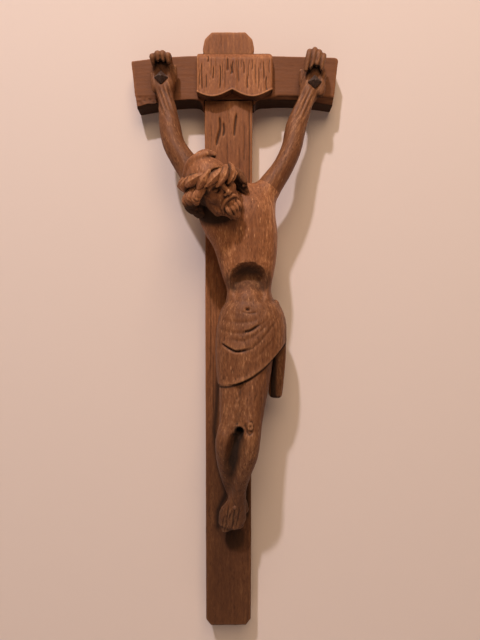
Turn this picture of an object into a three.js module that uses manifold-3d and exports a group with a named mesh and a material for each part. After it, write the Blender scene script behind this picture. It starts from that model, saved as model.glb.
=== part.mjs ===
// Carved wooden wall cross with a carved figure.
// Millimetres. +X is the viewer's right, +Z is up and the front faces -Y.
// The origin is where the wall screw bears in the hanger's slot, on the back of the upright.

import * as THREE from 'three';
import { mergeVertices } from 'three/addons/utils/BufferGeometryUtils.js';
import Module from 'manifold-3d';

const wasm = await Module();
wasm.setup();

// Clearances

const fitGap = 0.3;          // between any two pieces that seat on or in each other
const edgeEase = 0.9;        // softened arrises of the beams

// The two beams

const beamThickness = 15;
const uprightTop = 69;
const uprightHeight = 420;
const shaftWidth = 34;       // at the crossing
const footWidth = 31.8;      // the shaft tapers to this at the foot
const stubFlare = 1.4;       // how far each side swells above the crossbeam
const headChamferWide = 5;
const headChamferTall = 5.2;
const footChamferWide = 3.6;
const footChamferTall = 4.6;

const crossingBottom = 20.5; // lower edge of the crossbeam where it meets the shaft
const crossbeamDepth = 31.5; // its height at the crossing
const leftReach = 68.9;
const rightReach = 77.7;
const leftEndTopDrop = 4;    // how far the top edge falls towards the left end
const rightEndTopDrop = 1.4;
const leftEndFootDrop = 5.2; // how far the lower edge falls towards the left end
const rightEndFootDrop = 2.6;
const endSlant = 3.6;        // the ends lean in towards the bottom
const cornerRadius = 3;      // rounded top corner at the right end
const innerFillet = 6.5;     // carved curve between the crossbeam and the shaft
const planedBevel = 3.2;     // planed lower front arris of the right arm

// Title board, left bare

const titleOffset = 4.3;     // its centre, right of the upright's centreline
const titleWidth = 53;
const titleThickness = 6;
const titleSwell = 0.5;      // extra thickness on the two rounded lobes
const titleSideDrop = 2.2;   // sides end this far above the crossbeam's lower edge
const scallopDepth = 5.1;
const scallopPitch = 27.8;
const scallopCentre = 2.6;
const scallopSharpness = 1.1;
const titleCornerCut = 2.6;  // how far the rounded top corners fall

// The figure: every depth is measured forward from the beams' front face

const figureDrop = 50;       // pit of the neck below the hanger's bearing point
const headLength = 35;       // chin to top of skull
const headRoll = 37;         // degrees, top of the head towards the viewer's left
const headTurn = 18;         // degrees, face towards the viewer's right
const headBow = 22;          // degrees, forward
const headOut = 36;          // depth of the middle of the head
const headLeft = 8.4;
const headSink = 1.9;        // middle of the head below the pit of the neck
const crownStrand = 2.8;     // radius of one strand of the twisted crown
const crownTwists = 5;
const palmRise = 8.5;        // middle of each palm above the crossbeam's lower edge, right hand
const palmRiseLeft = 6.2;
const palmOut = 6;
const handInsetRight = 23.1; // middle of each palm in from its end of the crossbeam
const handInsetLeft = 18.5;
const fingerRadius = 2;
const toeRadius = 2;
const toeCount = 5;
const toeTipDrop = 228.6;    // big toe's tip below the pit of the neck
const toeRise = 7;           // little toe's tip above the big one's

// Nails, dowels and screws

const nailHeadWide = 9.4;    // across the corners of the square head
const nailHeadTall = 3.8;
const nailShank = 1.3;
const nailBite = 9;          // how far a hand nail goes into the crossbeam
const footNailHead = 1.7;
const footNailBite = 10;
const dowelRadius = 2.5;
const shoulderDowelLength = 18;
const crossingDowelSpacing = 14;
const titleDowelBite = 3.6;
const corpusScrewRadius = 2;
const corpusScrewHead = 4;
const corpusScrewBite = 15;  // into the back of the figure
const upperScrewDrop = 24;   // below the pit of the neck
const lowerScrewDrop = 99;
const corpusScrewX = 7;

// Keyhole hanger let into the back

const hangerWidth = 15;
const hangerHeight = 38;
const hangerThickness = 1.4;
const hangerCornerRadius = 3;
const entryRadius = 4.4;     // round end of the keyhole, for the wall screw's head
const slotHalfWidth = 2.3;
const entryDrop = 8;         // round end below the bearing point
const pocketSide = 1.2;      // pocket wider than the keyhole by this much each side
const pocketDepth = 6.6;
const hangerScrewRadius = 1.4;
const hangerScrewHead = 2.6;
const hangerScrewLength = 9;
const hangerScrewInset = 4.6;

// Values worked out from the sizes above

const crossingTop = crossingBottom + crossbeamDepth;
const crossingMiddle = (crossingBottom + crossingTop) / 2;
const uprightFoot = uprightTop - uprightHeight;
const neckZ = -figureDrop;
const hangerMiddle = -entryDrop / 2;
const rightHandX = handInsetRight - leftReach;
const leftHandX = rightReach - handInsetLeft;

// Woods and metals

const oak = new THREE.MeshStandardMaterial({ color: 0x6b432b, roughness: 0.72, metalness: 0 });
const carvedOak = new THREE.MeshStandardMaterial({ color: 0x74492e, roughness: 0.66, metalness: 0 });
const beech = new THREE.MeshStandardMaterial({ color: 0xa98256, roughness: 0.7, metalness: 0 });
const darkIron = new THREE.MeshStandardMaterial({ color: 0x2d2724, roughness: 0.5, metalness: 0.8 });
const zincSteel = new THREE.MeshStandardMaterial({ color: 0xa7a9ab, roughness: 0.38, metalness: 0.9 });

// Solids and helpers

function toSolid(geometry) {
  geometry.deleteAttribute('normal');
  geometry.deleteAttribute('uv');
  const welded = mergeVertices(geometry, 1e-4);
  return new wasm.Manifold(new wasm.Mesh({
    numProp: 3,
    vertProperties: new Float32Array(welded.attributes.position.array),
    triVerts: new Uint32Array(welded.index.array),
  }));
}

function toGeometry(solid) {
  const mesh = solid.getMesh();
  const geometry = new THREE.BufferGeometry();
  geometry.setAttribute('position', new THREE.BufferAttribute(mesh.vertProperties, 3));
  geometry.setIndex(new THREE.BufferAttribute(mesh.triVerts, 1));
  return geometry;
}

function join(solids) {
  return solids.reduce((sum, next) => sum.add(next));
}

function largestPiece(solid) {
  return solid.decompose().sort((a, b) => b.volume() - a.volume())[0];
}

// A point in front of the beams: x, depth forward of their front face, z.
function point(x, depth, z) {
  return new THREE.Vector3(x, -beamThickness - depth, z);
}

// A flat outline drawn in x and z, given thickness between two distances in front of the wall.
function slab(outline, back, front, ease = 0, curveSegments = 6) {
  const geometry = new THREE.ExtrudeGeometry(outline, {
    depth: front - back - 2 * ease,
    bevelEnabled: ease > 0,
    bevelThickness: ease,
    bevelSize: ease,
    bevelOffset: -ease,
    bevelSegments: 1,
    curveSegments,
  });
  geometry.translate(0, 0, back + ease);
  geometry.rotateX(Math.PI / 2);
  return toSolid(geometry);
}

function block(lowX, highX, back, front, lowZ, highZ) {
  const geometry = new THREE.BoxGeometry(highX - lowX, front - back, highZ - lowZ);
  geometry.translate((lowX + highX) / 2, -(front + back) / 2, (lowZ + highZ) / 2);
  return toSolid(geometry);
}

// A turned piece whose axis runs forward from the wall; profile is [radius, distance from wall].
function turned(profile, x, z, sides = 12) {
  const geometry = new THREE.LatheGeometry(profile.map(([r, y]) => new THREE.Vector2(r, y)), sides);
  geometry.rotateX(Math.PI);
  geometry.translate(x, 0, z);
  return toSolid(geometry);
}

function catmull(a, b, c, d, t) {
  const linear = c - a;
  const square = 2 * a - 5 * b + 4 * c - d;
  const cube = 3 * b - 3 * c + d - a;
  return 0.5 * (2 * b + linear * t + square * t * t + cube * t ** 3);
}

// Smooth values between stations, for every key that the stations have.
function along(stations, count) {
  const last = stations.length - 1;
  const value = (i, key) => stations[THREE.MathUtils.clamp(i, 0, last)][key];
  return Array.from({ length: count + 1 }, (_, n) => {
    const s = (n / count) * last;
    const i = Math.min(Math.floor(s), last - 1);
    const result = {};
    for (const key of Object.keys(stations[0])) {
      result[key] = catmull(value(i - 1, key), value(i, key), value(i + 1, key), value(i + 2, key), s - i);
    }
    return result;
  });
}

// Closed skin over rings that have the same number of points, with its faces turned outwards.
function skin(rings, closed = false) {
  const sides = rings[0].length;
  const points = rings.flat();
  const faces = [];
  const spans = closed ? rings.length : rings.length - 1;
  for (let i = 0; i < spans; i += 1) {
    const here = i * sides;
    const next = ((i + 1) % rings.length) * sides;
    for (let j = 0; j < sides; j += 1) {
      const k = (j + 1) % sides;
      faces.push([here + j, here + k, next + k], [here + j, next + k, next + j]);
    }
  }
  if (!closed) {
    for (const [start, turn] of [[0, true], [(rings.length - 1) * sides, false]]) {
      const centre = points.length;
      const middle = new THREE.Vector3();
      for (let j = 0; j < sides; j += 1) middle.add(points[start + j]);
      points.push(middle.divideScalar(sides));
      for (let j = 0; j < sides; j += 1) {
        const k = (j + 1) % sides;
        faces.push(turn ? [centre, start + k, start + j] : [centre, start + j, start + k]);
      }
    }
  }
  let volume = 0;
  const product = new THREE.Vector3();
  for (const [a, b, c] of faces) {
    volume += product.crossVectors(points[a], points[b]).dot(points[c]);
  }
  if (volume < 0) faces.forEach((face) => face.reverse());
  const geometry = new THREE.BufferGeometry();
  geometry.setAttribute('position', new THREE.Float32BufferAttribute(points.flatMap((p) => p.toArray()), 3));
  geometry.setIndex(faces.flat());
  return toSolid(geometry);
}

function oval(centre, side, front, wide, deep, sides) {
  return Array.from({ length: sides }, (_, n) => {
    const angle = (2 * Math.PI * n) / sides;
    return centre.clone()
      .addScaledVector(side, wide * Math.cos(angle))
      .addScaledVector(front, deep * Math.sin(angle));
  });
}

// A rounded limb through points, with oval sections square to its path and domed ends.
function limb(stations, { sides = 10, count = 10, across = new THREE.Vector3(1, 0, 0), grow = 0 } = {}) {
  const samples = along(stations.map(({ at, wide, deep = wide }) => (
    { x: at.x, y: at.y, z: at.z, wide: wide + grow, deep: deep + grow })), count);
  const centres = samples.map(({ x, y, z }) => new THREE.Vector3(x, y, z));
  const rings = [];
  const domes = [0.45, 0.85];
  samples.forEach(({ wide, deep }, n) => {
    const before = centres[Math.max(n - 1, 0)];
    const after = centres[Math.min(n + 1, count)];
    const tangent = after.clone().sub(before).normalize();
    const side = across.clone().addScaledVector(tangent, -across.dot(tangent)).normalize();
    const front = tangent.clone().cross(side);
    const ring = (share, shift) => oval(
      centres[n].clone().addScaledVector(tangent, shift * Math.min(wide, deep)),
      side, front, wide * share, deep * share, sides);
    if (n === 0) domes.forEach((share) => rings.push(ring(share, -Math.sqrt(1 - share * share))));
    rings.push(ring(1, 0));
    if (n === count) [...domes].reverse().forEach((share) => rings.push(ring(share, Math.sqrt(1 - share * share))));
  });
  return skin(rings);
}

function ellipsoid(centre, wide, deep, tall, turn = new THREE.Quaternion(), columns = 16, rows = 10) {
  const geometry = new THREE.SphereGeometry(1, columns, rows);
  geometry.scale(wide, deep, tall);
  geometry.applyQuaternion(turn);
  geometry.translate(centre.x, centre.y, centre.z);
  return toSolid(geometry);
}

// The beams

function uprightOutline() {
  const half = [
    [footWidth / 2 - footChamferWide, uprightFoot],
    [footWidth / 2, uprightFoot + footChamferTall],
    [shaftWidth / 2, crossingBottom],
    [shaftWidth / 2, crossingTop],
    [shaftWidth / 2 + stubFlare, crossingTop + 4],
    [shaftWidth / 2 + stubFlare * 0.8, uprightTop - 2 * headChamferTall],
    [shaftWidth / 2, uprightTop - headChamferTall],
    [shaftWidth / 2 - headChamferWide, uprightTop],
  ];
  const mirrored = half.map(([x, z]) => [-x, z]).reverse();
  return new THREE.Shape([...half, ...mirrored].map(([x, z]) => new THREE.Vector2(x, z)));
}

function crossbeamOutline() {
  const hug = shaftWidth / 2 + fitGap;
  const flat = hug + innerFillet;
  const outline = new THREE.Shape();
  outline.moveTo(-leftReach + endSlant, crossingBottom - leftEndFootDrop);
  outline.quadraticCurveTo(-leftReach * 0.55, crossingBottom + 0.6, -flat, crossingBottom);
  outline.absarc(-flat, crossingBottom - innerFillet, innerFillet, Math.PI / 2, 0, true);
  outline.lineTo(-hug, crossingBottom);
  outline.lineTo(hug, crossingBottom);
  outline.lineTo(hug, crossingBottom - innerFillet);
  outline.absarc(flat, crossingBottom - innerFillet, innerFillet, Math.PI, Math.PI / 2, true);
  outline.quadraticCurveTo(rightReach * 0.6, crossingBottom + 2.2,
    rightReach - endSlant, crossingBottom - rightEndFootDrop);
  outline.lineTo(rightReach, crossingTop - rightEndTopDrop - cornerRadius);
  outline.quadraticCurveTo(rightReach, crossingTop - rightEndTopDrop,
    rightReach - cornerRadius, crossingTop - rightEndTopDrop);
  outline.lineTo(flat, crossingTop);
  outline.lineTo(-flat, crossingTop);
  outline.quadraticCurveTo(-leftReach * 0.7, crossingTop - leftEndTopDrop * 0.2,
    -leftReach, crossingTop - leftEndTopDrop);
  return outline;
}

function lapNotch(forUpright) {
  const middle = beamThickness / 2;
  const past = beamThickness + 1;
  return forUpright
    ? block(-shaftWidth, shaftWidth, middle - fitGap / 2, past, crossingBottom - fitGap, crossingTop + fitGap)
    : block(-shaftWidth / 2 - fitGap, shaftWidth / 2 + fitGap, -1, middle + fitGap / 2,
      crossingBottom - 1, crossingTop + 1);
}

// The planed bevel grows from nothing beside the shaft to its full size along the right arm.
function bevelWedge() {
  const start = shaftWidth / 2 + innerFillet;
  const rings = [[start, 0.05], [start + 12, 0.8], [rightReach + 1, 1]].map(([x, share]) => {
    const size = planedBevel * share;
    const fall = rightEndFootDrop * Math.max(0, (x - start) / (rightReach - start)) ** 2;
    const edge = crossingBottom - fall + 0.6 * share;
    return [
      new THREE.Vector3(x, -beamThickness - 1, edge - 6),
      new THREE.Vector3(x, -beamThickness + size, edge - 6),
      new THREE.Vector3(x, -beamThickness + size, edge),
      new THREE.Vector3(x, -beamThickness - 1, edge + size * 1.3 + 1.3),
    ];
  });
  return skin(rings);
}

// Title board: two rounded lobes with a scalloped lower edge

function titleEdge(x) {
  const wave = Math.abs(Math.sin((Math.PI * (x - scallopCentre)) / scallopPitch));
  return crossingBottom + titleSideDrop + 1.8 - scallopDepth * wave ** scallopSharpness;
}

function titleBoard() {
  const columns = 22;
  const rows = [[0, 0.8], [0.03, 1], [0.5, 1], [0.94, 1], [1, 0.6]]; // share of the height, of the thickness
  const left = titleOffset - titleWidth / 2;
  const back = beamThickness + fitGap;
  const rings = [];
  for (let i = 0; i <= columns; i += 1) {
    const x = left + (titleWidth * i) / columns;
    const low = titleEdge(x);
    const atSide = Math.min(i, columns - i) < 1;
    const rim = atSide ? 0.8 : 1;
    const tall = crossingTop - (atSide ? titleCornerCut : 0) - low;
    const lobe = Math.abs(Math.sin((Math.PI * (x - scallopCentre)) / scallopPitch)) ** 0.7;
    const face = rows.map(([share, edge]) => {
      const depth = (titleThickness + titleSwell * lobe * (1 - 0.5 * share)) * edge * rim;
      return new THREE.Vector3(x, -back - depth, low + tall * share);
    });
    const rear = [...rows].reverse().map(([share]) => new THREE.Vector3(x, -back, low + tall * share));
    rings.push([...face, ...rear]);
  }
  return skin(rings);
}

// Fasteners

// Countersunk wood screw: its head lies flush at start, its point is at start + length.
function woodScrew(x, z, start, length, radius, head, grow = 0) {
  const tip = start + length + grow;
  return turned([
    [0, start - grow],
    [head + grow, start - grow],
    [head + grow, start + 0.4],
    [radius + grow, start + 0.4 + head - radius],
    [radius + grow, tip - 2 * radius],
    [0, tip],
  ], x, z);
}

function dowelAlong(from, to, radius, grow = 0) {
  const run = to.clone().sub(from);
  const geometry = new THREE.CylinderGeometry(radius + grow, radius + grow, run.length() + 2 * grow, 12);
  geometry.applyQuaternion(new THREE.Quaternion().setFromUnitVectors(
    new THREE.Vector3(0, 1, 0), run.clone().normalize()));
  const middle = from.clone().add(to).divideScalar(2);
  geometry.translate(middle.x, middle.y, middle.z);
  return toSolid(geometry);
}

// Forged nail with a square, pointed head set corner up.
function handNail(x, z, seat, grow = 0) {
  const front = beamThickness + seat;
  const shank = turned([
    [0, beamThickness - nailBite - grow],
    [nailShank + grow, beamThickness - nailBite + 2 * nailShank],
    [nailShank + grow, front + nailHeadTall / 2],
    [0, front + nailHeadTall / 2],
  ], x, z, 8);
  const head = turned([
    [0, front - grow],
    [nailHeadWide / 2 + grow, front - grow],
    [nailHeadWide / 2 + grow, front + 0.7],
    [0.6 + grow, front + nailHeadTall + grow],
    [0, front + nailHeadTall + grow],
  ], x, z, 4);
  return shank.add(head);
}

function footNail(x, z, seat, grow = 0) {
  const front = beamThickness + seat;
  return turned([
    [0, beamThickness - footNailBite - grow],
    [nailShank * 0.8 + grow, beamThickness - footNailBite + 2 * nailShank],
    [nailShank * 0.8 + grow, front],
    [footNailHead + grow, front],
    [footNailHead + grow, front + 0.6],
    [footNailHead * 0.6 + grow, front + 1.3 + grow],
    [0, front + 1.5 + grow],
  ], x, z, 10);
}

// Keyhole hanger

function keyholePath(grow, top) {
  const entry = entryRadius + grow;
  const slot = slotHalfWidth + grow;
  const meet = Math.asin(slot / entry);
  const hole = new THREE.Path();
  hole.absarc(0, -entryDrop, entry, Math.PI / 2 - meet, Math.PI / 2 + meet, true);
  hole.lineTo(-slot, top);
  hole.absarc(0, top, slot, Math.PI, 0, true);
  return hole;
}

function roundedRectangle(width, height, radius, middleZ) {
  const x = width / 2;
  const z = height / 2;
  const outline = new THREE.Shape();
  outline.absarc(x - radius, middleZ + z - radius, radius, 0, Math.PI / 2);
  outline.absarc(-x + radius, middleZ + z - radius, radius, Math.PI / 2, Math.PI);
  outline.absarc(-x + radius, middleZ - z + radius, radius, Math.PI, Math.PI * 1.5);
  outline.absarc(x - radius, middleZ - z + radius, radius, Math.PI * 1.5, Math.PI * 2);
  return outline;
}

const hangerScrewHeights = [1, -1].map((way) => (
  hangerMiddle + way * (hangerHeight / 2 - hangerScrewInset)));

function hangerScrew(z, grow = 0) {
  return woodScrew(0, z, 0, hangerScrewLength, hangerScrewRadius, hangerScrewHead, grow);
}

function hangerPlate() {
  const outline = roundedRectangle(hangerWidth, hangerHeight, hangerCornerRadius, hangerMiddle);
  outline.holes.push(keyholePath(0, 0));
  return hangerScrewHeights.reduce(
    (plate, z) => plate.subtract(hangerScrew(z, fitGap)),
    slab(outline, 0, hangerThickness, 0, 5));
}

function hangerRecess() {
  const recess = slab(
    roundedRectangle(hangerWidth + 2 * fitGap, hangerHeight + 2 * fitGap, hangerCornerRadius, hangerMiddle),
    -1, hangerThickness + fitGap);
  const half = entryRadius + pocketSide;
  const pocket = block(-half, half, 0, hangerThickness + pocketDepth,
    -entryDrop - half, slotHalfWidth + pocketSide);
  return recess.add(pocket);
}

// The figure: trunk, cloth and legs

const trunkStations = [
  { z: 7, left: -10, right: 19, back: 5, front: 23 },
  { z: 0, left: -18.5, right: 26.5, back: 1, front: 27 },
  { z: -8, left: -21, right: 30.8, back: -2, front: 30.5 },
  { z: -17, left: -19.5, right: 32.2, back: -3, front: 32 },
  { z: -27, left: -15.2, right: 33.4, back: -3, front: 32.5 },
  { z: -36, left: -9.8, right: 33.2, back: -3, front: 32 },
  { z: -46, left: -6.6, right: 32.3, back: -3, front: 31 },
  { z: -56, left: -3.6, right: 30.4, back: -3, front: 29.5 },
  { z: -65, left: -0.8, right: 29.2, back: -3, front: 28.5 },
  { z: -74, left: -2, right: 31.5, back: -3, front: 29.5 },
  { z: -84, left: -4.5, right: 34, back: -3, front: 30 },
];

const clothStations = [
  { z: -73, left: -1.6, right: 31.6, back: 0, front: 29.8 },
  { z: -77, left: -4.8, right: 35.4, back: -2, front: 31.8 },
  { z: -84, left: -6.8, right: 38, back: -3, front: 32.8 },
  { z: -95, left: -8, right: 38.4, back: -3, front: 33.6 },
  { z: -107, left: -8.4, right: 36.4, back: -3, front: 34.2 },
  { z: -118, left: -7.8, right: 34, back: -3, front: 34.8 },
  { z: -130, left: -6.4, right: 31.6, back: -2, front: 35.4 },
];

function trunkRing({ z, left, right, back, front }, sides, squareness) {
  const soften = (v) => Math.sign(v) * Math.abs(v) ** squareness;
  return Array.from({ length: sides }, (_, n) => {
    const angle = (2 * Math.PI * (n + 0.5)) / sides;
    const x = (left + right) / 2 + ((right - left) / 2) * soften(Math.cos(angle));
    const depth = (back + front) / 2 + ((front - back) / 2) * soften(Math.sin(angle));
    return point(x, depth, neckZ + z);
  });
}

function trunk(stations, count, sides, squareness) {
  return skin(along(stations, count).map((station) => trunkRing(station, sides, squareness)));
}

// Arched hollow under the ribs. The slope of the belly closes it below.
function ribHollow() {
  const arch = ellipsoid(point(14, 37, neckZ - 63), 15.6, 15, 16, undefined, 18, 12);
  const slopeTop = point(14, 21, neckZ - 54);
  const slopeFoot = point(14, 29.5, neckZ - 73);
  const normal = slopeFoot.clone().sub(slopeTop).cross(new THREE.Vector3(1, 0, 0)).normalize();
  return arch.trimByPlane(normal.toArray(), normal.dot(slopeFoot));
}

// Depth of the cloth's front at a place on it.
function clothDepth(x, z) {
  const samples = along(clothStations, 60);
  const near = samples.reduce((a, b) => (Math.abs(b.z - z) < Math.abs(a.z - z) ? b : a));
  const share = Math.min(Math.abs((2 * x - near.left - near.right) / (near.right - near.left)), 0.97);
  const bulge = (1 - share ** 2.4) ** (1 / 2.4);
  return (near.back + near.front) / 2 + ((near.front - near.back) / 2) * bulge;
}

// Folds swing from the knot at the right hip, down across the front and round to the left.
function clothFold(drop, fall, radius) {
  const stations = [0, 0.22, 0.45, 0.68, 0.86, 1].map((share) => {
    const x = 32.5 - 36 * share;
    const z = -80 - drop * share - fall * Math.sin(Math.PI * share * 0.8);
    const sunk = radius * (0.45 + 0.3 * share ** 4);
    const fade = 1 - 0.45 * share ** 5;
    return {
      at: point(x, clothDepth(x, z) - sunk, neckZ + z),
      wide: radius * (0.6 + 0.8 * share * (1 - 0.5 * share)) * fade,
      deep: radius * fade,
    };
  });
  return limb(stations, { sides: 6, count: 8, across: new THREE.Vector3(0, 0, 1) });
}

function hemCutter() {
  const edge = [[-14, -128.6], [-6, -127.6], [4, -126], [14, -122], [24, -114.8], [33, -106], [46, -92]];
  const outline = new THREE.Shape();
  outline.moveTo(edge[0][0], neckZ - 150);
  outline.lineTo(edge[0][0], neckZ + edge[0][1]);
  outline.splineThru(edge.slice(1).map(([x, z]) => new THREE.Vector2(x, neckZ + z)));
  outline.lineTo(edge.at(-1)[0], neckZ - 150);
  return slab(outline, 0, beamThickness + 60, 0, 3);
}

function clothTail() {
  return limb([
    { at: point(31.5, 12, neckZ - 76), wide: 3.5, deep: 6 },
    { at: point(33.8, 10, neckZ - 88), wide: 5.6, deep: 7.5 },
    { at: point(34.2, 8.5, neckZ - 104), wide: 5.2, deep: 7 },
    { at: point(33.6, 7.5, neckZ - 120), wide: 5, deep: 6.4 },
    { at: point(32.4, 7, neckZ - 134), wide: 4.9, deep: 6 },
  ], { sides: 8, count: 6 });
}

function legs() {
  const right = limb([
    { at: point(5, 15, neckZ - 98), wide: 11, deep: 13 },
    { at: point(4.2, 18.5, neckZ - 120), wide: 10, deep: 12.2 },
    { at: point(3.5, 22, neckZ - 138), wide: 8.8, deep: 10.6 },
    { at: point(2.2, 26, neckZ - 152), wide: 7.6, deep: 8.8 },
    { at: point(0, 28, neckZ - 163), wide: 7.8, deep: 8.2 },
    { at: point(-0.8, 24.5, neckZ - 173), wide: 6.9, deep: 7.4 },
    { at: point(-0.6, 19.5, neckZ - 183), wide: 5.7, deep: 6.8 },
    { at: point(1, 14, neckZ - 194), wide: 4.6, deep: 5.5 },
    { at: point(4, 9, neckZ - 204), wide: 4.4, deep: 4.8 },
  ], { sides: 12, count: 15 });
  const left = limb([
    { at: point(20.5, 15, neckZ - 96), wide: 12, deep: 13.5 },
    { at: point(17.6, 19.5, neckZ - 119), wide: 11.2, deep: 12.4 },
    { at: point(15, 24.5, neckZ - 138), wide: 10.1, deep: 10.8 },
    { at: point(13.8, 28.5, neckZ - 152), wide: 8.6, deep: 9 },
    { at: point(13.2, 31, neckZ - 162), wide: 8, deep: 8.2 },
    { at: point(12.6, 28.5, neckZ - 172), wide: 7.2, deep: 7.6 },
    { at: point(10.4, 24.5, neckZ - 182.5), wide: 6, deep: 6.9 },
    { at: point(7.9, 20, neckZ - 194), wide: 5.1, deep: 5.7 },
    { at: point(6.8, 16.6, neckZ - 204), wide: 4.9, deep: 5.2 },
  ], { sides: 12, count: 15 });
  return [right, left];
}

// The feet are crossed, the left one in front, with the toes pointing down.
function feet() {
  const front = limb([
    { at: point(6.6, 16, neckZ - 202), wide: 5, deep: 5.2 },
    { at: point(5.4, 15, neckZ - 209), wide: 6.6, deep: 5 },
    { at: point(3, 13, neckZ - 216), wide: 8.6, deep: 4.6 },
    { at: point(1.6, 11.2, neckZ - toeTipDrop + 5.8), wide: 8.2, deep: 3.6 },
  ], { sides: 12, count: 6 });
  const back = limb([
    { at: point(4.6, 8, neckZ - 204), wide: 4.6, deep: 4.8 },
    { at: point(6.6, 6, neckZ - 211), wide: 6, deep: 5.2 },
    { at: point(8, 4.6, neckZ - 217), wide: 6, deep: 4.4 },
  ], { sides: 10, count: 4 });
  const toes = [];
  for (let i = 0; i < toeCount; i += 1) {
    const share = i / (toeCount - 1);
    const rise = toeRise * share ** 1.6;
    toes.push(limb([
      { at: point(-2 + 9.6 * share, 12, neckZ - toeTipDrop + 7.4 + rise), wide: toeRadius },
      { at: point(-3.9 + 11 * share, 10.2, neckZ - toeTipDrop + rise), wide: toeRadius * 0.95 },
    ], { sides: 6, count: 1 }));
  }
  return [front, back, ...toes];
}

// Head, turned and bowed as one form

const headCentre = point(-headLeft, headOut, neckZ - headSink);
const headTilt = new THREE.Quaternion()
  .setFromAxisAngle(new THREE.Vector3(0, 1, 0), -THREE.MathUtils.degToRad(headRoll))
  .multiply(new THREE.Quaternion().setFromAxisAngle(
    new THREE.Vector3(0, 0, 1), THREE.MathUtils.degToRad(headTurn)))
  .multiply(new THREE.Quaternion().setFromAxisAngle(
    new THREE.Vector3(1, 0, 0), THREE.MathUtils.degToRad(headBow)));
const h = headLength;

// A place on the head: right and up and forward of its middle, as shares of its length.
function onHead(right, up, forward) {
  return new THREE.Vector3(right * h, -forward * h, up * h).applyQuaternion(headTilt).add(headCentre);
}

function headAcross() {
  return new THREE.Vector3(1, 0, 0).applyQuaternion(headTilt);
}

function faceAndSkull() {
  const skull = ellipsoid(onHead(0, 0.06, -0.02), 0.35 * h, 0.4 * h, 0.42 * h, headTilt, 14, 10);
  const jaw = ellipsoid(onHead(0, -0.2, 0.13), 0.26 * h, 0.25 * h, 0.31 * h, headTilt, 12, 8);
  const hair = ellipsoid(onHead(-0.02, 0.14, -0.09), 0.41 * h, 0.44 * h, 0.45 * h, headTilt, 14, 10);
  const sockets = [-1, 1].map((side) => (
    ellipsoid(onHead(side * 0.14, -0.01, 0.41), 0.095 * h, 0.07 * h, 0.05 * h, headTilt, 10, 6)));
  const lids = [-1, 1].map((side) => (
    ellipsoid(onHead(side * 0.14, -0.015, 0.3), 0.075 * h, 0.055 * h, 0.04 * h, headTilt, 8, 6)));
  const nose = limb([
    { at: onHead(0, 0.09, 0.36), wide: 0.03 * h, deep: 0.04 * h },
    { at: onHead(0, -0.05, 0.43), wide: 0.035 * h, deep: 0.05 * h },
    { at: onHead(0, -0.17, 0.45), wide: 0.07 * h, deep: 0.05 * h },
  ], { sides: 8, count: 3, across: headAcross() });
  const head = join([skull, jaw, hair]).subtract(join(sockets));
  return join([head, ...lids, nose]);
}

function beard() {
  const chin = limb([
    { at: onHead(0, -0.3, 0.22), wide: 0.25 * h, deep: 0.18 * h },
    { at: onHead(0, -0.43, 0.25), wide: 0.2 * h, deep: 0.16 * h },
    { at: onHead(0, -0.56, 0.31), wide: 0.12 * h, deep: 0.1 * h },
    { at: onHead(0, -0.64, 0.36), wide: 0.055 * h, deep: 0.05 * h },
  ], { sides: 10, count: 5, across: headAcross() });
  const moustache = [-1, 1].map((side) => limb([
    { at: onHead(side * 0.02, -0.225, 0.4), wide: 0.035 * h, deep: 0.03 * h },
    { at: onHead(side * 0.11, -0.27, 0.37), wide: 0.035 * h, deep: 0.03 * h },
    { at: onHead(side * 0.17, -0.37, 0.3), wide: 0.02 * h, deep: 0.02 * h },
  ], { sides: 5, count: 3, across: headAcross() }));
  return [chin, ...moustache];
}

// Two strands wound round each other, in a ring that sits a little crooked on the head.
function crown() {
  const wide = 0.43 * h;
  const deep = 0.47 * h;
  const offset = crownStrand * 0.95;
  const sit = headTilt.clone()
    .multiply(new THREE.Quaternion().setFromAxisAngle(
      new THREE.Vector3(0, 1, 0), THREE.MathUtils.degToRad(11)))
    .multiply(new THREE.Quaternion().setFromAxisAngle(
      new THREE.Vector3(1, 0, 0), -THREE.MathUtils.degToRad(8)));
  const middle = onHead(0, 0.2, -0.02);
  const up = new THREE.Vector3(0, 0, 1);
  const steps = 45;
  const sides = 5;
  return [0, 1].map((strand) => {
    const rings = [];
    for (let i = 0; i < steps; i += 1) {
      const angle = (2 * Math.PI * i) / steps;
      const outward = new THREE.Vector3(Math.cos(angle), Math.sin(angle), 0);
      const phase = crownTwists * angle + strand * Math.PI;
      const centre = new THREE.Vector3(wide * Math.cos(angle), deep * Math.sin(angle), 0)
        .addScaledVector(outward, offset * Math.cos(phase))
        .addScaledVector(up, offset * Math.sin(phase));
      rings.push(oval(centre, outward, up, crownStrand, crownStrand, sides).map((p) => (
        p.applyQuaternion(sit).add(middle))));
    }
    return skin(rings, true);
  });
}

// Locks hang straight down from under the crown, and two lie on the far shoulder.
function hairLocks() {
  const locks = [
    { from: [-0.34, 0.14, 0.18], to: [-14.5, 3, -14], radius: 2.8 },
    { from: [-0.38, 0.14, 0.06], to: [-18, -1, -13], radius: 3.6 },
    { from: [-0.38, 0.12, -0.1], to: [-17, -6, -15], radius: 4 },
    { from: [-0.3, 0.08, -0.22], to: [-12, -10, -17], radius: 4.4 },
    { from: [0.36, 0.16, 0.04], to: [19, -6, 4], radius: 3 },
    { from: [0.34, 0.05, -0.14], to: [18, -13, -3], radius: 4 },
  ];
  return locks.map(({ from, to, radius }) => {
    const start = onHead(...from);
    const end = headCentre.clone().add(new THREE.Vector3(to[0], -to[1], to[2]));
    const middle = start.clone().lerp(end, 0.5).add(new THREE.Vector3(from[0] * 6, 0, 0));
    return limb([
      { at: start, wide: radius },
      { at: middle, wide: radius * 1.1 },
      { at: end, wide: radius * 0.5 },
    ], { sides: 7, count: 4 });
  });
}

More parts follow.
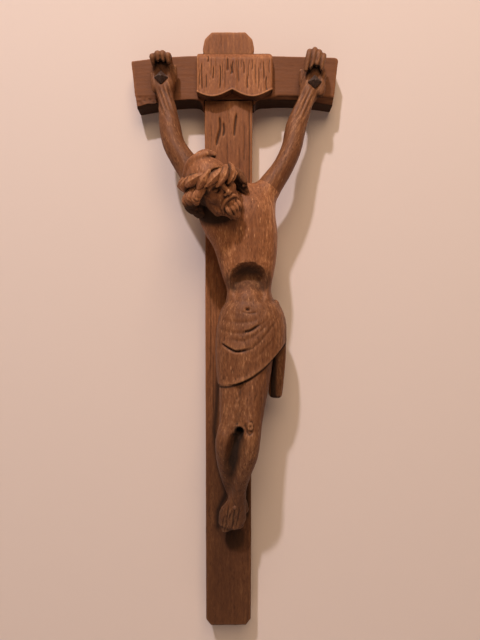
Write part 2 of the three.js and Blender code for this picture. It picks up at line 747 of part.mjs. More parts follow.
// Arms: each runs from its shoulder to its hand, bowed outwards at the elbow.
// at is the share of the way, out is the bow, depth is forward of the beams.

const rightArm = {
  shoulder: new THREE.Vector3(-16.8, 0, neckZ + 3),
  hand: new THREE.Vector3(rightHandX, 0, crossingBottom + palmRise + 5),
  stations: [
    { at: -0.06, out: 0.4, depth: 14, wide: 9.8, deep: 10 },
    { at: 0.06, out: -1.2, depth: 14, wide: 9.2, deep: 9.6 },
    { at: 0.2, out: -4.7, depth: 13, wide: 8.5, deep: 8.8 },
    { at: 0.37, out: -8.6, depth: 12, wide: 7.5, deep: 7.6 },
    { at: 0.54, out: -7.2, depth: 10.6, wide: 7.4, deep: 7 },
    { at: 0.7, out: -4.5, depth: 9, wide: 6.2, deep: 5.7 },
    { at: 0.8, out: -3, depth: 7.6, wide: 5.4, deep: 4.9 },
    { at: 0.91, out: -1.5, depth: palmOut, wide: 7.6, deep: 5 },
    { at: 1, out: 0, depth: palmOut, wide: 8.4, deep: 5 },
    { at: 1.06, out: 1.6, depth: palmOut + 0.5, wide: 7.4, deep: 4.6 },
  ],
  fingers: { lean: 0, pitch: 3.55, reach: 9.8, curl: 9.5, thumb: 1 },
};

const leftArm = {
  shoulder: new THREE.Vector3(22.6, 0, neckZ - 3.5),
  hand: new THREE.Vector3(leftHandX, 0, crossingBottom + palmRiseLeft + 4.3),
  stations: [
    { at: -0.06, out: -1, depth: 14, wide: 10, deep: 10.4 },
    { at: 0.04, out: 0.6, depth: 14, wide: 9.1, deep: 9.8 },
    { at: 0.14, out: 2.6, depth: 13.6, wide: 8, deep: 9 },
    { at: 0.26, out: 5, depth: 13, wide: 7.1, deep: 8.1 },
    { at: 0.42, out: 5.2, depth: 12, wide: 6.9, deep: 7 },
    { at: 0.59, out: 2, depth: 10.6, wide: 7.1, deep: 6.8 },
    { at: 0.73, out: 1, depth: 9, wide: 6.3, deep: 5.7 },
    { at: 0.82, out: 0.7, depth: 7.6, wide: 5.5, deep: 5 },
    { at: 0.92, out: 0.5, depth: palmOut, wide: 7.6, deep: 5 },
    { at: 1, out: 0, depth: palmOut, wide: 8.4, deep: 5 },
    { at: 1.07, out: -1.3, depth: palmOut + 0.5, wide: 7.6, deep: 4.6 },
  ],
  fingers: { lean: 0.06, pitch: 3.4, reach: 16, curl: 7.5, thumb: -1 },
};

function armPoint({ shoulder, hand }, at, out, depth) {
  const line = shoulder.clone().lerp(hand, at);
  return point(line.x + out, depth, line.z);
}

function armLimb(arm, grow = 0) {
  return limb(arm.stations.map(({ at, out, depth, wide, deep }) => (
    { at: armPoint(arm, at, out, depth), wide, deep })), { sides: 11, count: 17, grow });
}

// Plane of the glued shoulder joint: where it is and which way the arm leaves it.
function shoulderJoint(arm) {
  const [low, high] = arm.stations.slice(1, 3).map(({ at, out, depth }) => armPoint(arm, at, out, depth));
  return { at: low.clone().lerp(high, 0.5), way: high.clone().sub(low).normalize() };
}

function beyondShoulder(arm, shift) {
  const { at, way } = shoulderJoint(arm);
  const size = 200;
  const geometry = new THREE.BoxGeometry(size, size, size);
  geometry.translate(0, size / 2, 0);
  geometry.applyQuaternion(new THREE.Quaternion().setFromUnitVectors(new THREE.Vector3(0, 1, 0), way));
  const foot = at.clone().addScaledVector(way, shift);
  geometry.translate(foot.x, foot.y, foot.z);
  return toSolid(geometry);
}

// Fingers curl up and forward over the nail; the thumb lies along the palm's inner side.
function hand(arm, grow = 0) {
  const { lean, pitch, reach, curl, thumb } = arm.fingers;
  const { x, z } = arm.hand;
  const base = z + 3;
  const parts = [];
  for (let i = 0; i < 4; i += 1) {
    const side = (i - 1.5) * pitch;
    const long = 1 - 0.06 * Math.abs(i - 1.5) * 2;
    const at = (up, out) => point(x + side + lean * up, palmOut + out, base + up * long);
    parts.push(limb([
      { at: at(0, 0), wide: fingerRadius },
      { at: at(reach * 0.7, 1), wide: fingerRadius },
      { at: at(reach, curl * 0.5), wide: fingerRadius * 1.05 },
      { at: at(reach * 0.72, curl), wide: fingerRadius * 0.95 },
      { at: at(reach * 0.36, curl * 0.98), wide: fingerRadius * 0.85 },
    ], { sides: 6, count: 7, grow }));
  }
  parts.push(limb([
    { at: point(x + thumb * 5.8, palmOut - 1.6, z - 8), wide: fingerRadius },
    { at: point(x + thumb * 8.4, palmOut - 1.2, z - 1), wide: fingerRadius },
    { at: point(x + thumb * 8.6, palmOut - 0.6, z + 6.5), wide: fingerRadius * 0.8 },
  ], { sides: 6, count: 4, grow }));
  return parts;
}

function nailPlace(arm) {
  const { x, z } = arm.hand;
  return { x, z: z - 3.2, seat: palmOut + 4.6 };
}

function shoulderDowel(arm, grow = 0) {
  const { at, way } = shoulderJoint(arm);
  const half = shoulderDowelLength / 2;
  return dowelAlong(at.clone().addScaledVector(way, -half), at.clone().addScaledVector(way, half),
    dowelRadius, grow);
}

// Everything behind the figure's seat on the beams
function seatCutter() {
  return block(-200, 200, -60, beamThickness + fitGap, uprightFoot, uprightTop + 50);
}

function armSolid(arm, grow = 0) {
  const whole = join([armLimb(arm, grow), ...hand(arm, grow)]).intersect(beyondShoulder(arm, fitGap / 2 - grow));
  if (grow) return whole;
  const { x, z, seat } = nailPlace(arm);
  return largestPiece(whole
    .subtract(seatCutter())
    .subtract(handNail(x, z, seat, fitGap))
    .subtract(shoulderDowel(arm, fitGap)));
}

const footNailPlace = { x: 4.6, z: neckZ - 209, seat: 19.6 };
const corpusScrews = [upperScrewDrop, lowerScrewDrop].map((drop) => ({ x: corpusScrewX, z: neckZ - drop }));

function corpusScrew({ x, z }, grow = 0) {
  return woodScrew(x, z, 0, beamThickness + corpusScrewBite, corpusScrewRadius, corpusScrewHead, grow);
}

function corpusSolid() {
  const chest = trunk(trunkStations, 14, 22, 0.82);
  const neck = limb([
    { at: point(0, 12, neckZ - 3), wide: 10 },
    { at: point(-4, 22, neckZ - 3), wide: 8.6 },
    { at: onHead(0, -0.12, -0.1), wide: 8 },
  ], { sides: 10, count: 5 });
  const shoulders = [rightArm, leftArm].map((arm) => (
    armLimb(arm).subtract(beyondShoulder(arm, -fitGap / 2))));
  const folds = [clothFold(3, 6, 2.4), clothFold(13, 10, 2.7), clothFold(27, 13, 3)];
  const cloth = join([trunk(clothStations, 11, 24, 0.84), ...folds]).subtract(hemCutter());
  const trunkAndCloth = chest.subtract(ribHollow()).add(cloth);
  const whole = join([
    trunkAndCloth, clothTail(), neck, ...shoulders, ...legs(), ...feet(),
    faceAndSkull(), ...beard(), ...crown(), ...hairLocks(),
  ]);
  const { x, z, seat } = footNailPlace;
  return largestPiece([
    seatCutter(), armSolid(rightArm, fitGap), armSolid(leftArm, fitGap),
    footNail(x, z, seat, fitGap),
    shoulderDowel(rightArm, fitGap), shoulderDowel(leftArm, fitGap),
    ...corpusScrews.map((place) => corpusScrew(place, fitGap)),
  ].reduce((solid, cutter) => solid.subtract(cutter), whole));
}

// Dowels that pin the half lap and carry the title board

const crossingDowels = [-1, 1].map((side) => ({ x: (side * crossingDowelSpacing) / 2, z: crossingMiddle }));

function crossingDowel({ x, z }, grow = 0) {
  const front = beamThickness + fitGap + titleDowelBite;
  return turned([[0, -grow], [dowelRadius + grow, -grow], [dowelRadius + grow, front + grow], [0, front + grow]], x, z);
}

function cutAll(solid, cutters) {
  return cutters.reduce((rest, cutter) => rest.subtract(cutter), solid);
}

function nailHole(arm) {
  const { x, z, seat } = nailPlace(arm);
  return handNail(x, z, seat, fitGap);
}

const uprightSolid = cutAll(slab(uprightOutline(), 0, beamThickness, edgeEase), [
  lapNotch(true),
  hangerRecess(),
  ...hangerScrewHeights.map((z) => hangerScrew(z, fitGap)),
  ...crossingDowels.map((place) => crossingDowel(place, fitGap)),
  ...corpusScrews.map((place) => corpusScrew(place, fitGap)),
  footNail(footNailPlace.x, footNailPlace.z, footNailPlace.seat, fitGap),
]);

const crossbeamSolid = cutAll(slab(crossbeamOutline(), 0, beamThickness, 0), [
  lapNotch(false),
  bevelWedge(),
  ...crossingDowels.map((place) => crossingDowel(place, fitGap)),
  nailHole(rightArm),
  nailHole(leftArm),
]);

const titleSolid = cutAll(titleBoard(), crossingDowels.map((place) => crossingDowel(place, fitGap)));

// Assembly

const cross = new THREE.Group();

function place(name, solid, material) {
  const mesh = new THREE.Mesh(toGeometry(solid), material);
  mesh.name = name;
  cross.add(mesh);
}

place('upright', uprightSolid, oak);
place('crossbeam', crossbeamSolid, oak);
place('title_board', titleSolid, carvedOak);
place('corpus', corpusSolid(), carvedOak);

for (const [side, arm] of [['right', rightArm], ['left', leftArm]]) {
  place(`${side}_arm`, armSolid(arm), carvedOak);
  place(`shoulder_dowel_${side}`, shoulderDowel(arm), beech);
  const { x, z, seat } = nailPlace(arm);
  place(`hand_nail_${side}`, handNail(x, z, seat), darkIron);
}
place('foot_nail', footNail(footNailPlace.x, footNailPlace.z, footNailPlace.seat), darkIron);

corpusScrews.forEach((spot, i) => {
  place(['corpus_screw_upper', 'corpus_screw_lower'][i], corpusScrew(spot), zincSteel);
});
crossingDowels.forEach((spot, i) => {
  place(['crossing_dowel_left', 'crossing_dowel_right'][i], crossingDowel(spot), beech);
});
place('hanger_plate', hangerPlate(), zincSteel);
hangerScrewHeights.forEach((z, i) => {
  place(['hanger_screw_upper', 'hanger_screw_lower'][i], hangerScrew(z), zincSteel);
});

export default cross;
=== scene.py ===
import functools
import math

import bpy
import numpy as np
from mathutils import Matrix, Vector


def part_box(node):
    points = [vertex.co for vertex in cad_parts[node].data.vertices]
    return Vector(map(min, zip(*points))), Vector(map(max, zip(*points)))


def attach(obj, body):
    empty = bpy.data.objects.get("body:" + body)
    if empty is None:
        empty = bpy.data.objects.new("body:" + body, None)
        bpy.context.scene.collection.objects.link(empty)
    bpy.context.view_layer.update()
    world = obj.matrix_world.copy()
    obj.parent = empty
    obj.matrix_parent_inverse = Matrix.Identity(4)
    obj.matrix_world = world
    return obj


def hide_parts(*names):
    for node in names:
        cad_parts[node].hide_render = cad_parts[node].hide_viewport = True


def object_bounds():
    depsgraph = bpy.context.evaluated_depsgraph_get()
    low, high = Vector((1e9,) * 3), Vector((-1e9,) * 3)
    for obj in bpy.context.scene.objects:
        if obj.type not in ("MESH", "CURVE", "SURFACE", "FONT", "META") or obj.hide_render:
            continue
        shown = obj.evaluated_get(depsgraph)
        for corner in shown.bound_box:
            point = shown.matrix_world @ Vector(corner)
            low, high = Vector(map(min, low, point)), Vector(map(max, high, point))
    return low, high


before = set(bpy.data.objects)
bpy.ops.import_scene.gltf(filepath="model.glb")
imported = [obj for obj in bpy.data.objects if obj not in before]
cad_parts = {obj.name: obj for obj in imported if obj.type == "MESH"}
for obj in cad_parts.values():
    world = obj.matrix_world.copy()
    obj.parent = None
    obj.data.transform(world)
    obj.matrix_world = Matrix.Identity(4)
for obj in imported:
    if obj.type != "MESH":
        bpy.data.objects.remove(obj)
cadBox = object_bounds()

# Carved wooden wall cross. Sculpting is done in millimetres, as x, depth forward of the beams, and z.

mm = 0.001
beamFront = -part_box("upright")[0].y / mm  # the beams' front face, in front of the wall
print("stage: frame loaded")


def newObject(name, data):
    piece = bpy.data.objects.new(name, data)
    bpy.context.scene.collection.objects.link(piece)
    return piece


def unit(value):  # kept between 0 and 1
    return np.clip(value, 0, 1)


# Carving blocks: distances on a grid, below zero inside the wood

def newBlock(low, high, step):  # step is one number, or one for each axis
    step = np.ones(3) * step
    axes = [np.arange(a, b + s, s, dtype=np.float32) for a, b, s in zip(low, high, step)]
    field = np.full([len(axis) for axis in axes], 9.0, np.float32)
    return {"axes": axes, "step": step, "field": field}


def blockWindow(block, low, high, margin):
    cuts = []
    for axis, a, b in zip(block["axes"], low, high):
        start = int(np.searchsorted(axis, a - margin))
        stop = int(np.searchsorted(axis, b + margin))
        cuts.append(slice(start, stop))
    x, d, z = [axis[cut] for axis, cut in zip(block["axes"], cuts)]
    return tuple(cuts), x[:, None, None], d[None, :, None], z[None, None, :]


def softMin(a, b, blend):
    near = np.maximum(blend - np.abs(a - b), 0) / blend
    return np.minimum(a, b) - near * near * blend * 0.25


def shapeWood(block, form, blend, margin, sign):  # sign 1 adds the form and -1 cuts it away
    low, high, measure = form
    cuts, x, d, z = blockWindow(block, low, high, blend + margin)
    field = block["field"][cuts]
    if 0 not in field.shape:
        block["field"][cuts] = sign * softMin(sign * field, measure(x, d, z).astype(np.float32), blend)


def addWood(block, form, blend):
    shapeWood(block, form, blend, 4, 1)


def cutWood(block, form, blend):
    shapeWood(block, form, blend, 2, -1)


def roundGap(offsets, radii):  # distance from an ellipsoid, near enough for carving
    k0 = np.sqrt(sum((a / r) ** 2 for a, r in zip(offsets, radii)))
    k1 = np.sqrt(sum((a / r ** 2) ** 2 for a, r in zip(offsets, radii)))
    return k0 * (k0 - 1) / np.maximum(k1, 1e-6)


def ball(centre, radii):
    centre = np.array(centre, float)
    radii = np.array(radii, float)

    def measure(x, d, z):
        return roundGap((x - centre[0], d - centre[1], z - centre[2]), radii)

    return centre - radii, centre + radii, measure


def brick(low, high):
    low = np.array(low, float)
    high = np.array(high, float)
    middle = (low + high) / 2
    half = (high - low) / 2

    def measure(x, d, z):
        q = [np.abs(p - m) - h for p, m, h in zip((x, d, z), middle, half)]
        outside = np.sqrt(sum(np.maximum(a, 0) ** 2 for a in q))
        return outside + np.minimum(np.maximum(np.maximum(q[0], q[1]), q[2]), 0)

    return low, high, measure


def outlined(outline, back, front, rounding):  # an outline in x and z with its thickness
    corners = np.array(outline, float)
    mid, half = (back + front) / 2, (front - back) / 2

    def measure(x, d, z):
        u, v = x + 0 * z, z + 0 * x
        best = np.full(u.shape, 1e9)
        within = np.zeros(u.shape, bool)
        for a, b in zip(corners, np.roll(corners, -1, 0)):
            run = b - a
            if run @ run < 1e-9:
                continue
            share = unit(((u - a[0]) * run[0] + (v - a[1]) * run[1]) / (run @ run))
            best = np.minimum(best, (u - a[0] - share * run[0]) ** 2 + (v - a[1] - share * run[1]) ** 2)
            if a[1] != b[1]:
                within ^= ((a[1] > v) != (b[1] > v)) & (u < a[0] + (v - a[1]) / run[1] * run[0])
        flat = np.where(within, -1, 1) * np.sqrt(best) + rounding
        deep = np.abs(d - mid) - half + rounding
        outer = np.hypot(np.maximum(flat, 0), np.maximum(deep, 0))
        return outer + np.minimum(np.maximum(flat, deep), 0) - rounding

    low = np.array((corners[:, 0].min(), back, corners[:, 1].min()))
    high = np.array((corners[:, 0].max(), front, corners[:, 1].max()))
    return low, high, measure


def countersink(x0, z0, head, shank, start, length):  # seat of a wood screw put in from the wall side
    def measure(x, d, z):
        wide = np.clip(head - (d - start - 0.4), shank, head)
        return np.maximum((np.hypot(x - x0, z - z0) - wide) * 0.75, d - start - length)

    return (x0 - head, start - 1, z0 - head), (x0 + head, start + length, z0 + head), measure


def rod(x0, z0, radius, back, front):  # straight rod that runs forward from the wall side
    def measure(x, d, z):
        ring = np.hypot(x - x0, z - z0) - radius
        return np.maximum(ring, np.maximum(back - d, d - front))

    return (x0 - radius, back, z0 - radius), (x0 + radius, front, z0 + radius), measure


def onlyBeyond(form, spot, way):  # the part of a form on the far side of a plane
    low, high, measure = form

    def cut(x, d, z):
        past = sum((p - s) * w for p, s, w in zip((x, d, z), spot, way))
        return np.maximum(measure(x, d, z), -past)

    return low, high, cut


def smoothPath(rows, count):  # smooth curve through rows of numbers
    rows = np.array(rows, float)
    last = len(rows) - 1
    s = np.linspace(0, last, count + 1)
    i = np.minimum(s.astype(int), last - 1)
    t = (s - i)[:, None]
    a, b, c, d = [rows[np.clip(i + k, 0, last)] for k in (-1, 0, 1, 2)]
    cubic = 3 * b - 3 * c + d - a
    return 0.5 * (2 * b + (c - a) * t + (2 * a - 5 * b + 4 * c - d) * t ** 2 + cubic * t ** 3)


def limb(stations, count, power=2.0):  # rows of x, depth, z, wide, deep
    path = smoothPath(stations, count)
    if path.shape[1] == 4:
        path = np.hstack([path, path[:, 3:4]])
    centres = path[:, :3]
    tangent = np.gradient(centres, axis=0)
    tangent /= np.linalg.norm(tangent, axis=1)[:, None]
    for across in np.eye(3)[[0, 2, 1]]:  # the first that never runs along the limb
        if np.abs(tangent @ across).max() < 0.97:
            break
    side = across - tangent * (tangent @ across)[:, None]
    side /= np.linalg.norm(side, axis=1)[:, None]
    front = np.cross(tangent, side)
    table = np.hstack([path, tangent, side, front]).astype(np.float32)
    reach = path[:, 3:5].max(axis=1)[:, None]

    def measure(x, d, z):
        shape = np.broadcast_shapes(x.shape, d.shape, z.shape)
        best = np.full(shape, 1e9, np.float32)
        where = np.zeros(shape, np.float32)
        for n in range(len(centres) - 1):
            a = centres[n]
            run = centres[n + 1] - a
            px, pd, pz = x - a[0], d - a[1], z - a[2]
            t = (px * run[0] + pd * run[1] + pz * run[2]) / (run @ run)
            t = unit(t).astype(np.float32)
            gap = (px - t * run[0]) ** 2 + (pd - t * run[1]) ** 2 + (pz - t * run[2]) ** 2
            closer = gap < best
            best = np.where(closer, gap, best)
            where = np.where(closer, n + t, where)
        k = np.minimum(where.astype(np.int32), len(centres) - 2)
        f = where - k
        row = [table[k, c] * (1 - f) + table[k + 1, c] * f for c in range(14)]
        p = (x - row[0], d - row[1], z - row[2])
        along, sideways, forward = [sum(p[i] * row[n + i] for i in range(3)) for n in (5, 8, 11)]
        wide = np.maximum(row[3], 0.05)
        deep = np.maximum(row[4], 0.05)
        end = np.minimum(wide, deep)
        if power == 2.0:
            return roundGap((sideways, forward, along), (wide, deep, end))
        q = (np.abs(sideways / wide) ** power + np.abs(forward / deep) ** power
             + np.abs(along / end) ** power) ** (1 / power)
        return (q - 1) * end

    return (centres - reach).min(axis=0), (centres + reach).max(axis=0), measure


def stack(stations, power, edge):  # level sections: rows of z, left, right, back, front
    rows = smoothPath(stations, 80)
    rows = rows[np.argsort(rows[:, 0])]
    top, foot = rows[-1, 0], rows[0, 0]

    def measure(x, d, z):
        level = np.clip(z, foot, top)
        left, right, back, front = [np.interp(level, rows[:, 0], rows[:, c]) for c in (1, 2, 3, 4)]
        u = np.abs((2 * x - left - right) / (right - left))
        v = np.abs((2 * d - back - front) / (front - back))
        k = (u ** power + v ** power) ** (1 / power) + 1e-6
        slope = np.hypot(2 * u ** (power - 1) / (right - left), 2 * v ** (power - 1) / (front - back))
        body = (k - 1) / np.maximum(slope * k ** (1 - power), 1e-3)
        return -softMin(-body, -np.maximum(z - top, foot - z), edge)

    low = np.array((rows[:, 1].min(), rows[:, 3].min(), foot))
    high = np.array((rows[:, 2].max(), rows[:, 4].max(), top))
    return low, high, measure


# Meshing and relief

def blockMesh(block):  # one point in each cell that the surface crosses, one face across each crossed edge
    field = block["field"]
    for axis in range(3):  # wood that reaches a limit of the block ends there in a flat face
        limits = np.moveaxis(field, axis, 0)
        limits[0] = np.maximum(limits[0], 0.2)
        limits[-1] = np.maximum(limits[-1], 0.2)
    inside = field < 0
    corners = list(np.ndindex(2, 2, 2))
    count = np.zeros([n - 1 for n in field.shape], np.int8)
    for i, j, k in corners:
        count += inside[i:field.shape[0] - 1 + i, j:field.shape[1] - 1 + j, k:field.shape[2] - 1 + k]
    cells = np.argwhere((count > 0) & (count < 8))
    number = np.full(count.shape, -1, np.int32)
    number[tuple(cells.T)] = np.arange(len(cells))
    spot = np.zeros((len(cells), 3))
    hits = np.zeros(len(cells))
    values = {c: field[cells[:, 0] + c[0], cells[:, 1] + c[1], cells[:, 2] + c[2]] for c in corners}
    for a in corners:
        for axis in range(3):
            if a[axis] == 1:
                continue
            b = tuple(1 if n == axis else a[n] for n in range(3))
            crossed = (values[a] < 0) != (values[b] < 0)
            share = values[a][crossed] / (values[a][crossed] - values[b][crossed])
            spot[crossed] += np.array(a)
            spot[crossed, axis] += share
            hits[crossed] += 1
    start = np.array([axis[0] for axis in block["axes"]], float)
    points = start + (cells + spot / hits[:, None]) * block["step"]
    faces = []
    for axis in range(3):
        near = np.moveaxis(inside, axis, 0)
        lookup = np.moveaxis(number, axis, 0)
        crossing = near[:-1, 1:-1, 1:-1] != near[1:, 1:-1, 1:-1]
        i, j, k = np.nonzero(crossing)
        leaving = near[i, j + 1, k + 1]
        quad = np.stack([lookup[i, j + up, k + over] for up, over in ((0, 0), (1, 0), (1, 1), (0, 1))], 1)
        if axis == 1:
            leaving = ~leaving
        quad[~leaving] = quad[~leaving][:, ::-1]
        faces.append(quad)
    return points, np.vstack(faces)


def pointNormals(points, faces):
    a, b, c, d = [points[faces[:, n]] for n in range(4)]
    face = np.cross(c - a, d - b)
    normals = np.zeros_like(points)
    for n in range(4):
        for axis in range(3):
            normals[:, axis] += np.bincount(faces[:, n], face[:, axis], len(points))
    return normals / np.maximum(np.linalg.norm(normals, axis=1), 1e-9)[:, None]


def neighbourMean(values, faces, rounds):
    values = values.copy()
    flat = values.reshape(len(values), -1)
    pairs = np.vstack([faces[:, [n, (n + 1) % 4]] for n in range(4)])
    size = np.maximum(np.bincount(pairs[:, 0], minlength=len(flat)), 1)
    for _ in range(rounds):
        for column in range(flat.shape[1]):
            total = np.bincount(pairs[:, 0], flat[pairs[:, 1], column], len(flat))
            flat[:, column] = 0.5 * flat[:, column] + 0.5 * total / size
    return flat.reshape(values.shape)


def hashed(cell, seed):  # three repeatable random numbers for each whole-number cell
    n = (cell[..., 0] * 73856093) ^ (cell[..., 1] * 19349663) ^ (cell[..., 2] * 83492791)
    n = n ^ (seed * 2654435761)
    out = []
    for k in range(3):
        n = (n ^ (n >> 13)) * 1274126177 + 911 * (k + 1)
        n = n & 0xFFFFFFFF
        out.append(((n >> 7) & 0xFFFF) / 65535.0)
    return np.stack(out, -1)


def gougeMarks(points, size, seed):  # share of the way from the middle of a gouge cut to its rim
    p = points / np.array(size)
    base = np.floor(p).astype(np.int64)
    best = np.full(len(p), 9.0)
    for step in np.ndindex(3, 3, 3):
        cell = base + np.array(step) - 1
        seat = cell + 0.15 + 0.7 * hashed(cell, seed)
        best = np.minimum(best, ((p - seat) ** 2).sum(axis=1))
    return np.minimum(np.sqrt(best), 1.0)


def cornerWeight(shares, corner):  # how much one corner of a cell counts for a place inside it
    return math.prod(share if on else 1 - share for share, on in zip(shares, corner))


def softNoise(points, size, seed):  # smooth noise from -1 to 1
    p = points / np.array(size)
    base = np.floor(p).astype(np.int64)
    f = p - base
    f = f * f * (3 - 2 * f)
    total = np.zeros(len(p))
    for corner in np.ndindex(2, 2, 2):
        total += cornerWeight(f.T, corner) * hashed(base + np.array(corner), seed)[:, 0]
    return 2 * total - 1


def lineGap(u, v, line, count=24):  # distance from a drawn line, which side, and share along it
    path = smoothPath(line, count)
    best = np.full(len(u), 1e9)
    side = np.zeros(len(u))
    share = np.zeros(len(u))
    for n in range(count):
        a = path[n]
        run = path[n + 1] - a
        pu, pv = u - a[0], v - a[1]
        t = unit((pu * run[0] + pv * run[1]) / (run @ run))
        gap = np.hypot(pu - t * run[0], pv - t * run[1])
        closer = gap < best
        best = np.where(closer, gap, best)
        side = np.where(closer, np.sign(run[0] * pv - run[1] * pu), side)
        share = np.where(closer, (n + t) / count, share)
    return best, side, share


def bell(offset, width):  # 1 in the middle, falling off to both sides
    return np.exp(-(offset / width) ** 2)


def fadeEnds(share, length):
    return unit(np.minimum(share, 1 - share) / length)


def groove(u, v, line, width, depth, fade=0.2):
    gap, _, share = lineGap(u, v, line)
    return -depth * bell(gap, width) * fadeEnds(share, fade)


def ridge(u, v, line, width, height, fade=0.2):
    return -groove(u, v, line, width, height, fade)


def mound(u, v, centre, radii, height):
    return height * np.exp(-((u - centre[0]) / radii[0]) ** 2 - ((v - centre[1]) / radii[1]) ** 2)


def fieldAt(block, points):  # the block's distances at any places
    position = [(points[:, n] - block["axes"][n][0]) / block["step"][n] for n in range(3)]
    index = [np.clip(p.astype(int), 0, s - 2) for p, s in zip(position, block["field"].shape)]
    f = [unit(p - i) for p, i in zip(position, index)]
    total = np.zeros(len(points))
    for corner in np.ndindex(2, 2, 2):
        values = block["field"][tuple(i + on for i, on in zip(index, corner))]
        total += cornerWeight(f, corner) * values
    return total


def hollowness(block, points, normals):  # painted shade: 0 in the open, 1 deep in a hollow, where less light reaches
    shade = np.zeros(len(points))
    for reach, weight in ((0.8, 0.3), (1.8, 0.3), (3.6, 0.4)):
        clear = fieldAt(block, points + normals * reach)
        shade += weight * np.clip(1 - clear / reach, 0, 1.4)
    return shade


def meshPiece(name, points, faces, attributes):
    mesh = bpy.data.meshes.new(name)
    mesh.vertices.add(len(points))
    mesh.vertices.foreach_set("co", points.astype(np.float32).ravel())
    mesh.loops.add(faces.size)
    mesh.loops.foreach_set("vertex_index", faces.astype(np.int32).ravel())
    mesh.polygons.add(len(faces))
    mesh.polygons.foreach_set("loop_start", np.arange(0, faces.size, faces.shape[1], dtype=np.int32))
    mesh.polygons.foreach_set("use_smooth", np.ones(len(faces), bool))
    for key, values in attributes.items():
        mesh.attributes.new(key, "FLOAT", "POINT").data.foreach_set("value", values.astype(np.float32))
    mesh.update(calc_edges=True)
    mesh.validate()
    return newObject(name, mesh)


def toFrame(points):  # from x, depth, z in millimetres to the frame's metres
    return np.stack([points[:, 0], -(beamFront + points[:, 1]), points[:, 2]], 1) * mm


def carve(name, block, relief, place=toFrame, calm=None, paintedShade=None, undersideShade=0.42):  # the finished carved mesh
    points, faces = blockMesh(block)
    normals = pointNormals(points, faces)
    # painted shade: darker in hollows, then each piece's own painted shade and shadow are added
    shade = hollowness(block, points, normals)
    if paintedShade is not None:
        shade = shade + paintedShade(points)
    quiet = 1 if calm is None else calm(points)  # 0 beside a glued joint, where no edge shows
    points = points + normals * relief(points, normals)[:, None]
    normals = pointNormals(points, faces)
    smooth = neighbourMean(points, faces, 6)
    # crest: how far the surface stands out; the material lightens ridges as wear and painted highlight, and
    # darkens creases as painted shade
    crest = ((points - smooth) * normals).sum(axis=1) / block["step"].min()
    crest = neighbourMean(crest, faces, 1) * quiet
    placed = np.clip(place(points), *[tuple(corner) for corner in cadBox])  # inside the solids' own box
    under = unit((-pointNormals(placed, faces[:, ::-1])[:, 2] - 0.3) / 0.5)
    shade = (shade + undersideShade * under) * quiet  # painted shade on the undersides, which face away from the lamps
    piece = meshPiece(name, placed, faces[:, ::-1], {"hollow": shade, "crest": crest})
    print(f"stage: carved {name}, {len(faces) * 2} triangles")
    return piece


# The figure's trunk, cloth, legs and feet: heights count from the pit of the neck

neckZ = -50.0
grain = {"scoop": (2.4, 2.4, 7.0), "scoopDepth": 0.17, "fineDepth": 0.07, "seed": 11}

trunk = {
    "power": 2.44,
    "sections": [  # z, left, right, back, front
        (7, -10, 19, 5, 23), (0, -18.5, 26.5, 1, 27), (-8, -21, 30.8, -2, 30.5), (-17, -19.5, 32.2, -3, 32),
        (-27, -15.2, 33.4, -3, 32.5), (-36, -9.8, 33.2, -3, 32), (-46, -6.6, 32.3, -3, 31),
        (-56, -3.6, 30.4, -3, 29.5), (-65, -0.8, 29.2, -3, 28.5), (-74, -2, 31.5, -3, 29.5),
        (-84, -4.5, 34, -3, 30),
    ],
    "arch": {"centre": (13.6, 37, -63), "radii": (18, 17, 16.2)},
    "floor": [  # z, depth
        (-82, 33), (-73, 30.4), (-68, 28), (-62, 24.8), (-57, 21.6), (-50, 17.5), (-44, 16),
    ],
}

cloth = {
    "power": 2.38,
    "sections": [
        (-72.5, -0.6, 31.0, 1, 29.2), (-77, -4.2, 35.0, -2, 31.2), (-84, -6.4, 37.8, -3, 32.4),
        (-95, -8, 38.4, -3, 33.4), (-107, -8.4, 36.6, -3, 34.0), (-118, -7.8, 34.4, -3, 34.2),
        (-132, -6.2, 31.6, -2, 34.8),
    ],
    "hem": [(-16, -128.8), (-6, -127.6), (4, -126), (14, -122), (24, -114.8), (33, -106), (48, -90)],
    "tail": [
        (31.5, 13, -75, 3.5, 6), (34.0, 11, -86, 5.0, 7.5), (34.6, 9.4, -102, 5.0, 7.4),
        (34.0, 8.6, -118, 4.9, 7.0), (32.6, 8, -133.5, 4.7, 6.6),
    ],
}

legs = {
    "right": [
        (5, 15, -98, 11, 13.5), (4.2, 18.8, -120, 10, 13.2), (3.5, 22, -138, 9, 10.9),
        (2.2, 26, -152, 7.6, 8.8), (0, 28, -163, 7.8, 8.2), (-0.8, 24.5, -173, 6.9, 7.4),
        (-0.6, 19.5, -183, 5.7, 6.8), (1, 14, -194, 4.6, 5.5), (4, 9, -204, 4.4, 4.8),
    ],
    "left": [
        (20.5, 15, -96, 12, 14), (17.6, 19.5, -119, 11.2, 13.4), (15, 24.5, -138, 10.1, 11),
        (13.8, 28.5, -152, 8.6, 9), (13.2, 31, -162, 8, 8.2), (12.6, 28.5, -172, 7.2, 7.6),
        (10.4, 24.5, -182.5, 6, 6.9), (7.9, 20, -194, 5.1, 5.7), (6.8, 16.6, -204, 4.9, 5.2),
    ],
    "kneecaps": [((-1.2, 31.5, -160.5), (4.6, 4.6, 6)), ((14.6, 36.3, -151.6), (2.1, 2.6, 2.8))],
    "gap": [
        (8.2, 38, -155.8, 2.0, 8.0), (6.6, 38.5, -160, 4.2, 8.0), (4.4, 37.5, -168, 4.8, 7.6),
        (2.8, 34.4, -177, 3.8, 5.6), (1.5, 32.4, -188, 2.0, 3.4),
    ],
}

